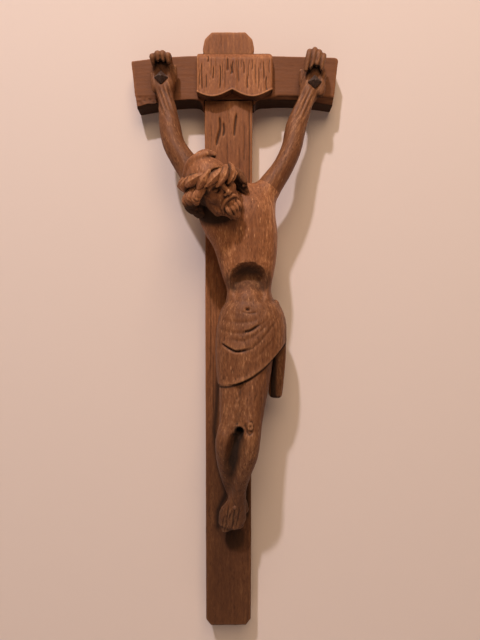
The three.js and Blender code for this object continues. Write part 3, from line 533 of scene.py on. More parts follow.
feet = {
    "front": [
        (6.6, 16, -202, 5, 5.2), (5.4, 15.4, -209, 6.8, 5.6), (3.4, 13.6, -216, 9.2, 5.2),
        (2.2, 12, -223, 8.8, 4.4),
    ],
    "back": [(4.6, 8, -204, 4.6, 4.8), (6.8, 6, -211, 6, 5.2), (8.6, 4.6, -217, 5.6, 4.2)],
    "toes": 5, "toeRadius": 2.0,
}
carvedStep = 0.54
wallSide = brick((-120, -9, -400), (120, 0.3, 120))  # all that lies behind the figure's flat back


def fromNeck(rows, column=2):  # stations given from the neck, moved to the frame's height
    return [tuple(value + neckZ * (n == column) for n, value in enumerate(row)) for row in rows]


def hemAt(x):
    line = smoothPath(cloth["hem"], 40)
    return np.interp(x, line[:, 0], line[:, 1])


def hemForm():  # everything below the slanted hem
    def measure(x, d, z):
        return (z - (hemAt(x) + neckZ)) * 0.8 + 0 * d

    return (-20, -5, -190 + neckZ), (50, 50, -88 + neckZ), measure


def toeRows():
    for n in range(feet["toes"]):
        share = n / (feet["toes"] - 1)
        rise = 7 * share ** 1.6
        r = feet["toeRadius"]
        yield [
            (-1.6 + 9.4 * share, 13.2, -217 + rise, r, r),
            (-2.5 + 9.8 * share, 12.4, -223 + rise, r * 1.05, r),
            (-2.6 + 10 * share, 10.8, -228.0 + rise, r, r * 0.95),
        ]


# Arms: at is the share of the way from shoulder to hand, out is the bow, then depth, wide and deep

palmDepth = 6.0
arms = {
    "right": {
        "shoulder": (-16.8, -47.0), "hand": (-45.8, 34.0), "thumb": 1,
        "stations": [
            (-0.06, 0.4, 14, 9.8, 10), (0.06, -1.2, 14, 9.2, 9.6), (0.2, -4.7, 13, 8.5, 8.8),
            (0.37, -8.6, 12, 7.5, 7.6), (0.54, -7.2, 10.6, 7.4, 7), (0.7, -4.5, 9, 6.2, 5.7),
            (0.8, -3, 7.6, 5.4, 4.9), (0.91, -1.5, 6, 7.6, 5), (1, 0, 6, 8.4, 5), (1.06, 1.6, 6.5, 7.4, 4.6),
        ],
        "fingers": {"lean": -0.08, "pitch": 3.5, "reach": 9.6, "curl": 9.3, "radius": 2.15, "tip": 0.34,
                    "lengths": (0.74, 0.98, 1.0, 0.84)},
    },
    "left": {
        "shoulder": (22.6, -53.5), "hand": (59.2, 31.0), "thumb": -1,
        "stations": [
            (-0.06, -1, 14, 10, 10.4), (0.04, 0.6, 14, 9.1, 9.8), (0.14, 2.6, 13.6, 8, 9),
            (0.26, 5, 13, 7.1, 8.1), (0.42, 5.2, 12, 6.9, 7), (0.59, 2, 10.6, 7.1, 6.8),
            (0.73, 1, 9, 6.3, 5.7), (0.82, 0.7, 7.6, 5.5, 5), (0.92, 0.5, 6, 7.6, 5), (1, 0, 6, 8.4, 5),
            (1.07, -1.3, 6.5, 7.6, 4.6),
        ],
        "fingers": {"lean": 0.2, "pitch": 3.35, "reach": 16, "curl": 7.6, "radius": 2.0, "tip": 0.06,
                    "lengths": (0.92, 1.0, 0.9, 0.74)},
    },
}


def armRows(arm):
    (x0, z0), (x1, z1) = arm["shoulder"], arm["hand"]
    return [(x0 + (x1 - x0) * at + out, depth, z0 + (z1 - z0) * at, wide, deep)
            for at, out, depth, wide, deep in arm["stations"]]


def shoulderJoint(arm):  # the glued joint: a place on it and the way the arm leaves it
    near, far = [np.array(row[:3]) for row in armRows(arm)[1:3]]
    return (near + far) / 2, (far - near) / np.linalg.norm(far - near)


def besideJoints(points, joined):  # 0 at a shoulder's glued joint, 1 a few millimetres away
    calm = np.ones(len(points))
    for arm in joined:
        spot, way = shoulderJoint(arm)
        along = np.abs((points - spot) @ way)
        near = np.linalg.norm(points - spot, axis=1) < 14
        calm = np.where(near, np.minimum(calm, unit((along - 0.8) / 1.5)), calm)
    return calm


def makeTrunk():
    lowest, highest = (-37, -0.6, neckZ - 140), (43, 38, neckZ + 26)
    block = newBlock(lowest, highest, carvedStep)
    addWood(block, stack(fromNeck(trunk["sections"], 0), trunk["power"], 6), 0.5)
    for arm in arms.values():
        spot, way = shoulderJoint(arm)
        addWood(block, onlyBeyond(limb(armRows(arm), 26), spot + 0.3 * way, -way), 5)
    arch = trunk["arch"]
    archLow, archHigh, measure = ball(np.array(arch["centre"]) + (0, 0, neckZ), arch["radii"])
    heights, depths = zip(*trunk["floor"])

    def aboveBelly(x, d, z):
        rise = np.interp(z - neckZ, heights, depths) - 0.045 * (x - arch["centre"][0]) ** 2
        return -softMin(-measure(x, d, z), d - rise, 2.4)

    cutWood(block, (archLow, archHigh, aboveBelly), 0.8)
    wrap = newBlock(lowest, (43, 38, neckZ - 66), carvedStep)
    addWood(wrap, stack(fromNeck(cloth["sections"], 0), cloth["power"], 2.5), 0.5)
    cutWood(wrap, hemForm(), 0.9)
    addWood(wrap, limb(fromNeck(cloth["tail"]), 14, power=3.2), 2.5)
    rows = wrap["field"].shape[2]
    block["field"][:, :, :rows] = softMin(block["field"][:, :, :rows], wrap["field"], 1.0)
    addWood(block, limb(fromNeck([(0, 12, -3, 10), (-4, 22, -3, 8.6), (-8, 32, -5, 8)]), 8), 4)
    cutWood(block, wallSide, 0.2)
    return carve("trunk_carving", block, bodyRelief, calm=lambda points: besideJoints(points, arms.values()),
                 paintedShade=bodyPaintedShade)


def makeLegs():
    block = newBlock((-16, -0.6, neckZ - 232), (35, 46, neckZ - 104), carvedStep)
    for side in ("right", "left"):
        addWood(block, limb(fromNeck(legs[side]), 26), 4.5)
    for centre, radii in legs["kneecaps"]:
        addWood(block, ball(np.array(centre) + (0, 0, neckZ), radii), 1.6)
    cutWood(block, limb(fromNeck(legs["gap"]), 16), 3.4)
    cutWood(block, ball((8, 36, -155 + neckZ), (2.3, 9, 2.1)), 0.8)
    addWood(block, limb(fromNeck(feet["back"]), 8), 1.5)
    addWood(block, limb(fromNeck(feet["front"]), 10), 2.0)
    for rows in toeRows():
        addWood(block, limb(fromNeck(rows), 6), 1.8)
    cutWood(block, wallSide, 0.2)
    return carve("legs_carving", block, bodyRelief, paintedShade=bodyPaintedShade)


def woodMarks(points, size=grain["scoop"], seed=0):  # gouge scoops and fine unevenness
    rim = gougeMarks(points, size, grain["seed"] + seed)
    fine = softNoise(points, (0.9, 0.9, 5.0), 3 + seed)
    return grain["scoopDepth"] * (rim ** 2 - 0.6) + grain["fineDepth"] * fine


def bodyRelief(points, normals):
    x, z = points[:, 0], points[:, 2] - neckZ
    facing = unit(normals[:, 1] * 1.6)
    chest = facing * unit((z + 70) / 6)
    out = woodMarks(points) * besideJoints(points, arms.values())
    out += chest * (mound(x, z, (-6, -17), (11, 8), 1.1) + mound(x, z, (21, -15), (12, 8.5), 1.1))
    out += chest * groove(x, z, [(6.5, -7), (7.5, -20), (9, -34), (11, -46)], 2.6, 0.9)
    for n in range(4):
        fall = 9.5 * n
        out += chest * groove(x, z, [(9, -28 - fall * 0.7), (-1, -27 - fall), (-13, -31 - fall)], 1.6, 0.16)
        out += chest * groove(x, z, [(14, -27 - fall * 0.7), (24, -25 - fall), (33, -29 - fall)], 1.6, 0.16)
    torn = softNoise(points, (0.7, 0.7, 1.6), 8)
    near = lineGap(x, z, [(5, -50.5), (10, -47.6), (14, -46.6), (19, -47.4), (24, -51)])[0]
    out += facing * bell(near, 1.6) * 0.45 * torn
    out += facing * mound(x, z, (12.9, -78.0), (1.3, 1.0), -1.9)
    out += facing * groove(x, z, [(9.6, -79.4), (12, -80.2), (15.8, -80.6), (19.8, -79.8)], 0.7, 0.5)
    rough = np.clip((-76 - z) / 8, 0, 0.5) + np.clip((-116 - z) / 8, 0, 0.5)
    rough = rough - np.clip((-156 - z) / 10, 0, 0.6)
    out += 0.26 * facing * rough * softNoise(points, (0.9, 0.9, 2.4), 77)
    return out + facing * clothRelief(x, z) + legRelief(x, z, facing)


def bodyPaintedShade(points):  # painted shade and shadow in the deep places of the figure
    x, d, z = points[:, 0], points[:, 1], points[:, 2] - neckZ
    inside = np.clip(1.15 - ((x - 13.6) / 15.5) ** 2 - ((z + 58) / 11.5) ** 2, 0, 0.3) / 0.3  # painted shade under the ribs
    deep = unit((29.5 - d) / 5) * unit((d - 10) / 3) * unit((z + 70) / 6)
    under = z - hemAt(x)  # painted shadow in the corner below the hem
    out = 0.5 * inside * deep + 0.8 * bell(under + 0.9, 0.8) * (d > 8)
    bowed = unit((1 - ((x + 6) / 19) ** 2 - ((z + 11) / 15) ** 2) / 0.4)  # painted shadow below the bowed head
    out += 0.8 * bowed * unit((-4 - z - 0.7 * np.maximum(x, 0)) / 4) * unit((d - 9) / 12)
    between = lineGap(x, z, [(8.6, -154), (6.8, -160), (4.6, -168), (2.4, -179), (1.2, -192)])[0]  # painted shade between the shins
    valley = 0.8 * unit(1.3 - between / 4.4) * unit((37 - d) / 3) * (z < -152) * (d > 18)
    out += valley * unit((z + 189) / 14)
    inner = unit((33.4 - x) / 2.2) * unit((x - 28.6) / 0.6)  # painted shade on the hanging end's inner side
    return out + 0.6 * inner * unit((-106 - z) / 8)


def clothRelief(x, z):
    on = unit((-74 - z) / 3)
    out = np.zeros(len(x))
    folds = [  # line, how much the upper layer stands proud, depth of the crease below it
        ([(-4.5, -83.6), (4, -85.6), (13, -85.8), (21, -83.6)], 0.15, 0.25),
        ([(10.6, -92.2), (14, -91.6), (17, -90), (20.6, -87.4)], 0.4, 1.1),
        ([(-7, -89), (1, -92), (11, -92.4), (22, -87), (33, -77)], 0.25, 0.3),
        ([(-3.8, -99.8), (1.5, -103), (6.2, -104.7), (12.8, -103.4)], 0.9, 1.5),
        ([(8, -104.8), (15, -102.6), (22, -96.5), (29, -88), (35, -79)], 0.5, 0.35),
        ([(2, -96.5), (11, -97.5), (19, -93), (27, -85.5), (34, -77)], 0.3, 0.25),
        ([(16, -110), (23, -104), (30, -96), (36, -85)], 0.2, 0.25),
    ]
    for line, proud, crease in folds:
        gap, side, share = lineGap(x, z, line)
        fade = unit(share / 0.1) * np.clip((1 - share) / 0.25, 0.15, 1)
        above = 0.5 + 0.5 * np.tanh(side * gap / 0.6)
        out += fade * proud * above * bell(gap, 4.0)
        out -= fade * crease * bell(side * gap + 0.3, 0.75 if crease > 0.8 else 1.3)
    near = z - hemAt(x)
    out += 0.5 * bell(near - 0.8, 1.6) * (near > -1)
    return out * on


def legRelief(x, z, facing):
    on = unit((-124 - z) / 4) * facing
    out = groove(x, z, [(8.2, -126), (8, -136), (7.2, -146), (6, -152)], 1.6, 0.55, 0.1)
    out += groove(x, z, [(10.5, -164), (9.6, -172), (7, -184)], 1.3, 0.3)
    out += ridge(x, z, [(13.6, -168), (11.5, -180), (8.6, -192)], 1.7, 0.5)
    out += groove(x, z, [(11.6, -149), (11.4, -153), (14.2, -156.6), (17.4, -154)], 0.7, 0.7)
    knob = np.hypot((x - 14.6) / 1.3, (z + 151.6) / 1.8)
    out += 0.6 * bell(knob - 1, 0.35) - 0.7 * bell(knob, 0.5)
    out -= 0.4 * bell(knob - 1.8, 0.3) * (x > 14.2)
    toes = [
        (-3.4, -214, -229, 0.4), (-1.6, -207, -228, 0.6), (0.1, -213, -229, 0.35), (1.7, -210, -222, 0.3),
        (3.1, -205, -227, 0.6), (4.6, -214, -226, 0.3), (6.2, -208, -224, 0.5), (8.0, -210, -221, 0.35),
    ]
    for at, top, foot, depth in toes:
        bow = 0.8 if depth > 0.45 else -0.4
        line = [(at + 2.0, top), (at + bow, (top + foot) / 2), (at - 0.4, foot)]
        out += groove(x, z, line, 0.5, 1.4 * depth)
    return out * on


def makeArm(side):
    arm = arms[side]
    spot, way = shoulderJoint(arm)
    (x0, z0), (x1, z1) = arm["shoulder"], arm["hand"]
    left, right = min(x0, x1) - 16, max(x0, x1) + 16
    block = newBlock((left, -0.4, z0 - 5), (right, 26, z1 + 24), 0.42)
    addWood(block, onlyBeyond(limb(armRows(arm), 26), spot - 1.0 * way, way), 0.5)
    hand = arm["fingers"]
    base = z1 + 3
    thumb = arm["thumb"]
    curl = hand["curl"]
    tip = hand["tip"]
    for n in range(4):
        shift = (n - 1.5) * hand["pitch"]
        rows = []
        for up, out, size in ((-0.3, -0.6, 0.9), (0.35, 0.3, 1.0), (0.74, 1.0, 1.05), (1.0, 0.42 * curl, 1.0),
                              (0.84, 0.88 * curl, 1.04), (0.5 + tip / 2, curl, 0.9), (tip, curl * 0.9, 0.7)):
            rise = up * hand["reach"] * hand["lengths"][n]
            x = x1 + shift + hand["lean"] * (rise - 7)
            rows.append((x, palmDepth + out, base + rise, hand["radius"] * size))
        addWood(block, limb(rows, 18), 0.9 if n else 1.4)
    thumbRows = [(3.4, -1.2, -11, 2.6), (6.2, -1.4, -6, 2.6), (8.4, -1.2, -1, 2.0), (8.6, -0.4, 6.5, 1.6)]
    addWood(block, limb([(x1 + thumb * x, palmDepth + d, z1 + z, r) for x, d, z, r in thumbRows], 12), 1.3)
    addWood(block, ball((x1 + thumb * 3.6, palmDepth + 3, z1 - 8.5), (3.4, 2.6, 5)), 2.4)
    addWood(block, ball((x1 - thumb * 4.8, palmDepth + 2.6, z1 - 6.5), (2.8, 2.4, 6)), 2.4)
    cutWood(block, ball((x1, palmDepth + 7.4, z1 - 1), (4.4, 4.4, 6.8)), 2.0)
    cutWood(block, rod(x1, z1 - 3.2, 1.4, -9, 20), 0.3)
    cutWood(block, wallSide, 0.2)

    def relief(points, normals):
        run = np.array((x1 - x0, 0, z1 - z0)) / math.hypot(x1 - x0, z1 - z0)
        share = ((points - np.array((x0, 0, z0))) @ run) / math.hypot(x1 - x0, z1 - z0)
        across = (points[:, 0] - x0) * run[2] - (points[:, 2] - z0) * run[0]
        turned = np.stack([across, points[:, 1], share * 90], 1)
        joint = besideJoints(points, [arm])
        out = joint * woodMarks(turned, (2.2, 2.2, 6.5), 5 if side == "left" else 9) - 0.05 * (1 - joint)
        facing = unit(normals[:, 1] * 1.5)
        wrist = unit((share - 0.62) / 0.1) * unit((0.92 - share) / 0.06)
        out += facing * wrist * 0.4 * np.cos(across * 2.1 + 2 * share) ** 3
        palm = unit((share - 0.9) / 0.04) * unit((1.02 - share) / 0.04)
        out -= facing * palm * 0.3 * bell(across + 1.5 - 30 * (share - 0.95), 0.8)
        return out

    return carve(f"{side}_arm_carving", block, relief, calm=lambda points: besideJoints(points, [arm]))


# The head: sculpted upright in its own axes (right, forward, up), then turned and bowed into place

head = {"length": 35.0, "roll": 37, "turn": 18, "bow": 22, "middle": (-8.4, 36.0, neckZ - 1.9)}
headTurn = np.array(Matrix.Rotation(math.radians(-head["roll"]), 3, "Y")
                    @ Matrix.Rotation(math.radians(head["turn"]), 3, "Z")
                    @ Matrix.Rotation(math.radians(head["bow"]), 3, "X"))


def onHead(right, up, forward):  # shares of the head's length
    return np.array((right, forward, up)) * head["length"]


def fromHead(points):  # the head's own axes to x, depth, z
    turned = (points * (1, -1, 1)) @ headTurn.T
    return turned * (1, -1, 1) + np.array(head["middle"])


def toHead(points):
    return (((np.array(points, float) - np.array(head["middle"])) * (1, -1, 1)) @ headTurn) * (1, -1, 1)


def onFace(rows):  # limb stations in shares of the head's length, radii too
    return [tuple(onHead(*row[:3])) + tuple(r * head["length"] for r in row[3:]) for row in rows]


hair = {
    "lines": 2.3, "lineDepth": 0.42,
    "locks": [  # start on the head, then how far it hangs from the head's middle in the frame, width
        ((-0.33, 0.12, 0.26), (-9.8, 10.5, -11.2), 2.7), ((-0.36, 0.15, 0.16), (-12.8, 7.5, -10.6), 3.2),
        ((-0.38, 0.13, 0.02), (-14.8, 2, -10.4), 3.6), ((-0.35, 0.1, -0.12), (-12.8, -4, -12.6), 4.0),
        ((-0.28, 0.06, -0.24), (-9, -9, -14), 4.2), ((0.35, 0.18, 0.08), (19, -4, 4.5), 2.8),
        ((0.37, 0.1, -0.06), (19.5, -9, 0), 3.4), ((0.3, 0.05, -0.2), (17, -14, -4), 4.0),
    ],
    "tufts": [  # from the head's middle in the frame, with the radius
        [(-14.5, -3, 13.5, 2.6), (-10, -2, 18.9, 3.7), (-5, -1.5, 21.4, 3.7), (-0.5, -1, 21.2, 2.2)],
        [(-17.2, 1, 7.6, 2.6), (-14, 4.8, 13, 3.4), (-8.8, 7.6, 16.6, 3.1), (-3.8, 8.6, 18.4, 1.6)],
    ],
}


def makeHead():
    h = head["length"]
    step = 0.4
    lowest, highest = onHead(-0.84, -0.95, -0.8), onHead(0.84, 0.92, 0.66)
    block, cap = newBlock(lowest, highest, step), newBlock(lowest, highest, step)

    def lump(at, radii, blend, shape=addWood, target=block):
        shape(target, ball(onHead(*at), np.array(radii) * h), blend)

    def strip(stations, count, blend, shape=addWood, target=block):
        shape(target, limb(onFace(stations), count), blend)

    def mirrored(half):  # a strip across the face, from its right half and the middle
        return half + [(-row[0], *row[1:]) for row in half[-2::-1]]

    lump((0, 0.08, -0.05), (0.335, 0.415, 0.4), 0.5)
    lump((0, -0.16, 0.11), (0.25, 0.285, 0.33), 5)
    strip(mirrored([(-0.22, 0.05, 0.27, 0.05), (-0.11, 0.075, 0.345, 0.05), (0, 0.06, 0.36, 0.05)]), 18, 2.5)
    for side in (-1, 1):
        lump((side * 0.135, -0.012, 0.43), (0.1, 0.12, 0.066), 1.8, cutWood)
        lump((side * 0.135, -0.02, 0.292), (0.078, 0.066, 0.056), 0.5)
        lump((side * 0.195, -0.115, 0.245), (0.085, 0.085, 0.07), 3.2)
        jaw = [(0.25, -0.02, 0.16, 0.05), (0.27, -0.2, 0.1, 0.06), (0.22, -0.38, 0.14, 0.07)]
        strip([(side * row[0], *row[1:]) for row in jaw], 10, 2.5)
    bridge = [(0.07, 0.36, 0.032), (-0.03, 0.41, 0.034), (-0.12, 0.455, 0.042), (-0.15, 0.45, 0.046)]
    strip([(0, *row) for row in bridge], 12, 1.6)
    for side in (-1, 1):
        lump((side * 0.05, -0.158, 0.415), (0.034, 0.042, 0.03), 0.9)
        lump((side * 0.028, -0.197, 0.44), (0.016, 0.02, 0.016), 0.4, cutWood)
    lip = [(-0.1, -0.276, 0.34, 0.018), (-0.045, -0.262, 0.39, 0.022), (0, -0.268, 0.398, 0.02)]
    strip(mirrored(lip), 16, 0.7)
    strip(mirrored([(-0.08, -0.29, 0.345, 0.02), (0, -0.31, 0.388, 0.028)]), 12, 0.6)

    # beard: a full base, then chunky pointed locks in two rows with gaps between them
    strip([(0, -0.3, 0.2, 0.23, 0.16), (0, -0.43, 0.235, 0.18, 0.14), (0, -0.55, 0.29, 0.1, 0.09)], 10, 3)
    for n in range(7):
        s = (n - 3) / 3
        far = abs(s)
        strip([(s * 0.235, -0.27 + 0.08 * far, 0.31 - 0.15 * far, 0.05),
               (s * 0.205, -0.42 + 0.05 * far, 0.35 - 0.12 * far, 0.058),
               (s * 0.12 + 0.015 * (-1) ** n, -0.65 + 0.13 * s * s, 0.29 - 0.06 * far, 0.014)], 10, 0.7)
    for n in range(4):
        s = (n - 1.5) / 1.5
        far = abs(s)
        strip([(s * 0.11, -0.34, 0.375 - 0.03 * far, 0.036), (s * 0.12, -0.44, 0.4 - 0.03 * far, 0.042),
               (s * 0.075, -0.575 + 0.03 * far, 0.36 - 0.02 * far, 0.011)], 10, 0.7)
    for side in (-1, 1):
        strip([(side * 0.02, -0.222, 0.425, 0.034), (side * 0.1, -0.25, 0.385, 0.036),
               (side * 0.17, -0.33, 0.32, 0.03), (side * 0.19, -0.43, 0.29, 0.012)], 10, 0.7)

    # hair: one cap with the face left open, then locks that hang straight down in the frame
    lump((-0.01, 0.14, -0.08), (0.4, 0.455, 0.44), 0.5, target=cap)
    lump((0, -0.08, 0.44), (0.3, 0.42, 0.4), 1.6, cutWood, cap)
    strip([(0, 0.3, 0.6, 0.03), (0, 0.62, 0.1, 0.02)], 6, 1.2, cutWood, cap)
    for start, hang, wide in hair["locks"]:
        a = onHead(*start)
        b = toHead([np.array(head["middle"]) + hang])[0]
        bend = a * 0.5 + b * 0.5 + np.array((start[0] * 7, 0, 0))
        curl = b + (b - bend) * 0.25 + np.array((-start[0] * 5, 0, 0))
        places = zip((a, bend, b, curl), (1, 1.12, 0.86, 0.35))
        addWood(cap, limb([(*place, wide * share) for place, share in places], 12), 0.7)
    for rows in hair["tufts"]:  # tufts that stand up half sunk behind the crown
        places = toHead([np.array(head["middle"]) + row[:3] for row in rows])
        addWood(cap, limb([(*place, row[3]) for place, row in zip(places, rows)], 12), 1.8)
    block["field"] = softMin(block["field"], cap["field"], 0.6)
    neck = toHead([(-9, 33, neckZ - 5), (-4, 22, neckZ - 3), (-1, 14, neckZ - 3)])
    addWood(block, limb([(*place, 7.6) for place in neck], 8), 2)

    def relief(points, normals):
        r, f, u = (points / h).T
        out = 0.5 * woodMarks(points, (1.7, 1.7, 3.4), 21)
        strand = np.abs(fieldAt(cap, points)) < 0.9
        face = (np.abs(r) < 0.24) & (f > 0.14) & (u < 0.24)
        world = fromHead(points)
        over = f * h + 1.1 * np.sin(u * h * 0.42) + 0.28 * u * h
        hanging = world[:, 1] * 0.9 + world[:, 0] * 0.55 + 0.9 * np.sin(world[:, 2] * 0.5)
        wave = np.where(u < 0.17 + 0.25 * np.abs(r), hanging, over)
        lines = np.sqrt(np.abs(np.sin(np.pi * wave / hair["lines"]))) - 0.66
        smooth = unit(1 - unit((u - 0.3) / 0.12) * 0.6)
        out += np.where(strand & ~face, hair["lineDepth"] * lines * smooth, 0)
        front = unit(normals[:, 1] * 1.5)
        bearded = unit((-0.3 - u) / 0.05)
        turned = r * h * 1.3 + 0.8 * np.sin(u * h * 0.5) * np.sign(r)
        out += bearded * 0.2 * (np.sqrt(np.abs(np.sin(np.pi * turned / 1.5))) - 0.66)
        for side in (-1, 1):
            lid = [(0.065, -0.028), (0.1, -0.046), (0.15, -0.048), (0.205, -0.024)]
            out += front * groove(r, u, [(side * a, b) for a, b in lid], 0.011, 0.42)
            crease = [(0.07, 0.012), (0.135, 0.034), (0.2, 0.012)]
            out += front * groove(r, u, [(side * a, b) for a, b in crease], 0.009, 0.25)
        lips = [(-0.085, -0.287), (-0.03, -0.283), (0.03, -0.283), (0.085, -0.287)]
        out += front * groove(r, u, lips, 0.008, 0.35)
        return out

    def paintedShade(points):  # painted shade on the hair that hangs below the crown at the left, and on the hair at the right
        r, f, u = (points / h).T
        left = unit((-0.2 - r) / 0.08) * unit((0.02 - u) / 0.1) * unit((0.16 - f) / 0.08)
        return 0.6 * left + 0.4 * (r > 0.27) * (u < 0.2)

    return carve("head_carving", block, relief, lambda points: toFrame(fromHead(points)), paintedShade=paintedShade)


# Node trees: sockets are set or linked by name, and sums are written with a node's outputs

class Wire:  # one output of a node
    def __init__(self, tree, socket):
        self.tree = tree
        self.socket = socket

    def __add__(self, other):
        return work("ADD", self, other)

    def __sub__(self, other):
        return work("SUBTRACT", self, other)

    def __rsub__(self, other):
        return work("SUBTRACT", other, self)

    def __mul__(self, other):
        return work("MULTIPLY", self, other)

    def __truediv__(self, other):
        return work("DIVIDE", self, other)

    def spread(self, a, b, c=0.0, d=1.0):  # the range from a to b drawn out to c to d
        inputs = {"Value": self, "From Min": a, "From Max": b, "To Min": c, "To Max": d}
        return addNode(self.tree, "ShaderNodeMapRange", inputs)[0]


def addNode(tree, kind, inputs=None, **settings):  # the outputs come back by number and by name
    node = tree.nodes.new(kind)
    for key, value in settings.items():
        setattr(node, key, value)
    for key, value in (inputs or {}).items():
        if isinstance(value, Wire):
            tree.links.new(value.socket, node.inputs[key])
        else:
            node.inputs[key].default_value = value
    outputs = {}
    for number, socket in enumerate(node.outputs):
        outputs[number] = Wire(tree, socket)
        outputs.setdefault(socket.name, outputs[number])
    return outputs


def treeOf(*values):
    return next(value.tree for value in values if isinstance(value, Wire))


def work(operation, a, b=0.0):
    return addNode(treeOf(a, b), "ShaderNodeMath", {0: a, 1: b}, operation=operation)[0]


def vector(x, y, z):
    return addNode(treeOf(x, y, z), "ShaderNodeCombineXYZ", {0: x, 1: y, 2: z})[0]


def blend(factor, a, b):  # from colour a to colour b
    return addNode(factor.tree, "ShaderNodeMix", {0: factor, 6: a, 7: b}, data_type="RGBA")[2]


def geometryTree(name, sizes):
    tree = bpy.data.node_groups.new(name, "GeometryNodeTree")
    tree.interface.new_socket("Geometry", in_out="OUTPUT", socket_type="NodeSocketGeometry")
    for label, value in sizes.items():
        kind = {int: "NodeSocketInt", float: "NodeSocketFloat", tuple: "NodeSocketVector"}[type(value)]
        tree.interface.new_socket(label, in_out="INPUT", socket_type=kind)
    add = functools.partial(addNode, tree)
    return add, add("NodeGroupInput")


def finishTree(geometry):
    real = addNode(geometry.tree, "GeometryNodeRealizeInstances", {"Geometry": geometry})
    addNode(geometry.tree, "NodeGroupOutput", {0: real[0]})
    return geometry.tree


def grow(name, tree, sizes):  # runs a tree once and keeps the result as a plain mesh
    holder = newObject(name, bpy.data.meshes.new(name + "_seed"))
    modifier = holder.modifiers.new("nodes", "NODES")
    modifier.node_group = tree
    for item in tree.interface.items_tree:
        if item.item_type == "SOCKET" and item.in_out == "INPUT":
            modifier[item.identifier] = sizes[item.name]
    depsgraph = bpy.context.evaluated_depsgraph_get()
    mesh = bpy.data.meshes.new_from_object(holder.evaluated_get(depsgraph), depsgraph=depsgraph)
    mesh.name = name
    bpy.data.objects.remove(holder)
    print(f"stage: grown {name}, {len(mesh.polygons)} faces")
    return newObject(name, mesh)


# The crown: pointed leaves of wood laid aslant round a ring, as the carver cuts a twisted wreath

crown = {
    "Ring Wide": 15.4, "Ring Deep": 16.7, "Leaves": 14, "Leaf Long": 15.5, "Leaf Wide": 7.0,
    "Leaf Thick": 5.4, "Lay": 0.68, "Core Radius": 2.5, "Seed": 4,
}


def crownTree():
    add, size = geometryTree("carvedWreath", crown)

    def store(geometry, name, value):
        return add("GeometryNodeStoreNamedAttribute", {"Geometry": geometry, "Name": name, "Value": value},
                   data_type="FLOAT", domain="POINT")[0]

    def vary(amount, step):
        return add("FunctionNodeRandomValue", {"Seed": size["Seed"] + step, 2: -amount, 3: amount},
                   data_type="FLOAT")[1]

    # one leaf: a ball drawn out to two points, with a keel along its outer side
    bud = add("GeometryNodeMeshUVSphere", {"Segments": 24, "Rings": 24, "Radius": 1.0})[0]
    at = add("ShaderNodeSeparateXYZ", {0: add("GeometryNodeInputPosition")[0]})
    far, aside = work("ABSOLUTE", at[2]), work("ABSOLUTE", at[1])
    outer, inner = work("GREATER_THAN", at[0], 0.0), work("LESS_THAN", at[0], 0.0)
    slim = work("POWER", work("MAXIMUM", 1.0 - far, 0.001) / (far + 1.0), 0.25)
    keel = outer * 0.3 * work("EXPONENT", aside * -3.6) * (1.0 - far * far)
    # painted shade on the leaf's rims and inner side, painted highlight down the middle of its outer side
    bud = store(bud, "hollow", work("MAXIMUM", (aside - 0.45) * 1.5, 0.0) + inner * 0.5)
    bud = store(bud, "crest", (0.6 - aside) * (outer * 0.45))
    thick = (at[0] * slim + keel) * (size["Leaf Thick"] * 0.5) - far * far
    wide = at[1] * slim * (size["Leaf Wide"] * 0.5)
    tall = at[2] * (size["Leaf Long"] * 0.5)
    leaf = add("GeometryNodeSetPosition", {"Geometry": bud, "Position": vector(thick, wide, tall)})[0]

    # the leaves stand round the ring, larger on the side turned up to the light
    angle = (add("GeometryNodeInputIndex")[0] + vary(0.24, 1)) * (2 * math.pi) / size["Leaves"]
    across, along = work("COSINE", angle), work("SINE", angle)
    seats = add("GeometryNodePoints", {"Count": size["Leaves"], "Position": vector(
        across * size["Ring Wide"], along * size["Ring Deep"], vary(0.9, 2))})[0]
    lay = size["Lay"] + vary(0.24, 3) + across * 0.24
    flat = work("COSINE", lay)
    run = vector(along * -1.0 * flat, across * flat, work("SINE", lay))
    turn = add("FunctionNodeAxesToRotation", {0: run, 1: vector(across, along, 0.0)},
               primary_axis="Z", secondary_axis="X")[0]
    scale = vary(0.12, 4) + 1.02 - across * 0.16
    leaves = add("GeometryNodeInstanceOnPoints", {"Points": seats, "Instance": leaf, "Rotation": turn,
                                                  "Scale": scale})[0]
    circle = add("GeometryNodeCurvePrimitiveCircle", {"Resolution": 72, "Radius": 1.0})[0]
    ring = add("GeometryNodeTransform", {"Geometry": circle, "Scale": vector(
        size["Ring Wide"] - 1.2, size["Ring Deep"] - 1.2, 1.0)})[0]
    section = add("GeometryNodeCurvePrimitiveCircle", {"Resolution": 14, "Radius": size["Core Radius"]})[0]
    core = add("GeometryNodeCurveToMesh", {"Curve": ring, "Profile Curve": section})[0]
    # the core between the leaves is painted dark, as shade
    core = store(store(core, "hollow", 0.85), "crest", 0.0)
    solid = add("GeometryNodeRealizeInstances", {"Geometry": leaves})[0]
    whole = core.tree.nodes.new("GeometryNodeJoinGeometry")
    for part in (core, solid):
        core.tree.links.new(part.socket, whole.inputs[0])
    rough = add("ShaderNodeTexNoise", {"Scale": 0.5, "Detail": 3.0}, noise_dimensions="3D")["Color"]
    lift = add("ShaderNodeVectorMath", {0: rough, 1: (0.5, 0.5, 0.5)}, operation="SUBTRACT")[0]
    joined = Wire(core.tree, whole.outputs[0])
    return finishTree(add("GeometryNodeSetPosition", {"Geometry": joined, "Offset": lift})[0])


# The beams: same outlines as the solids, with softened arrises and gouge cuts along the grain

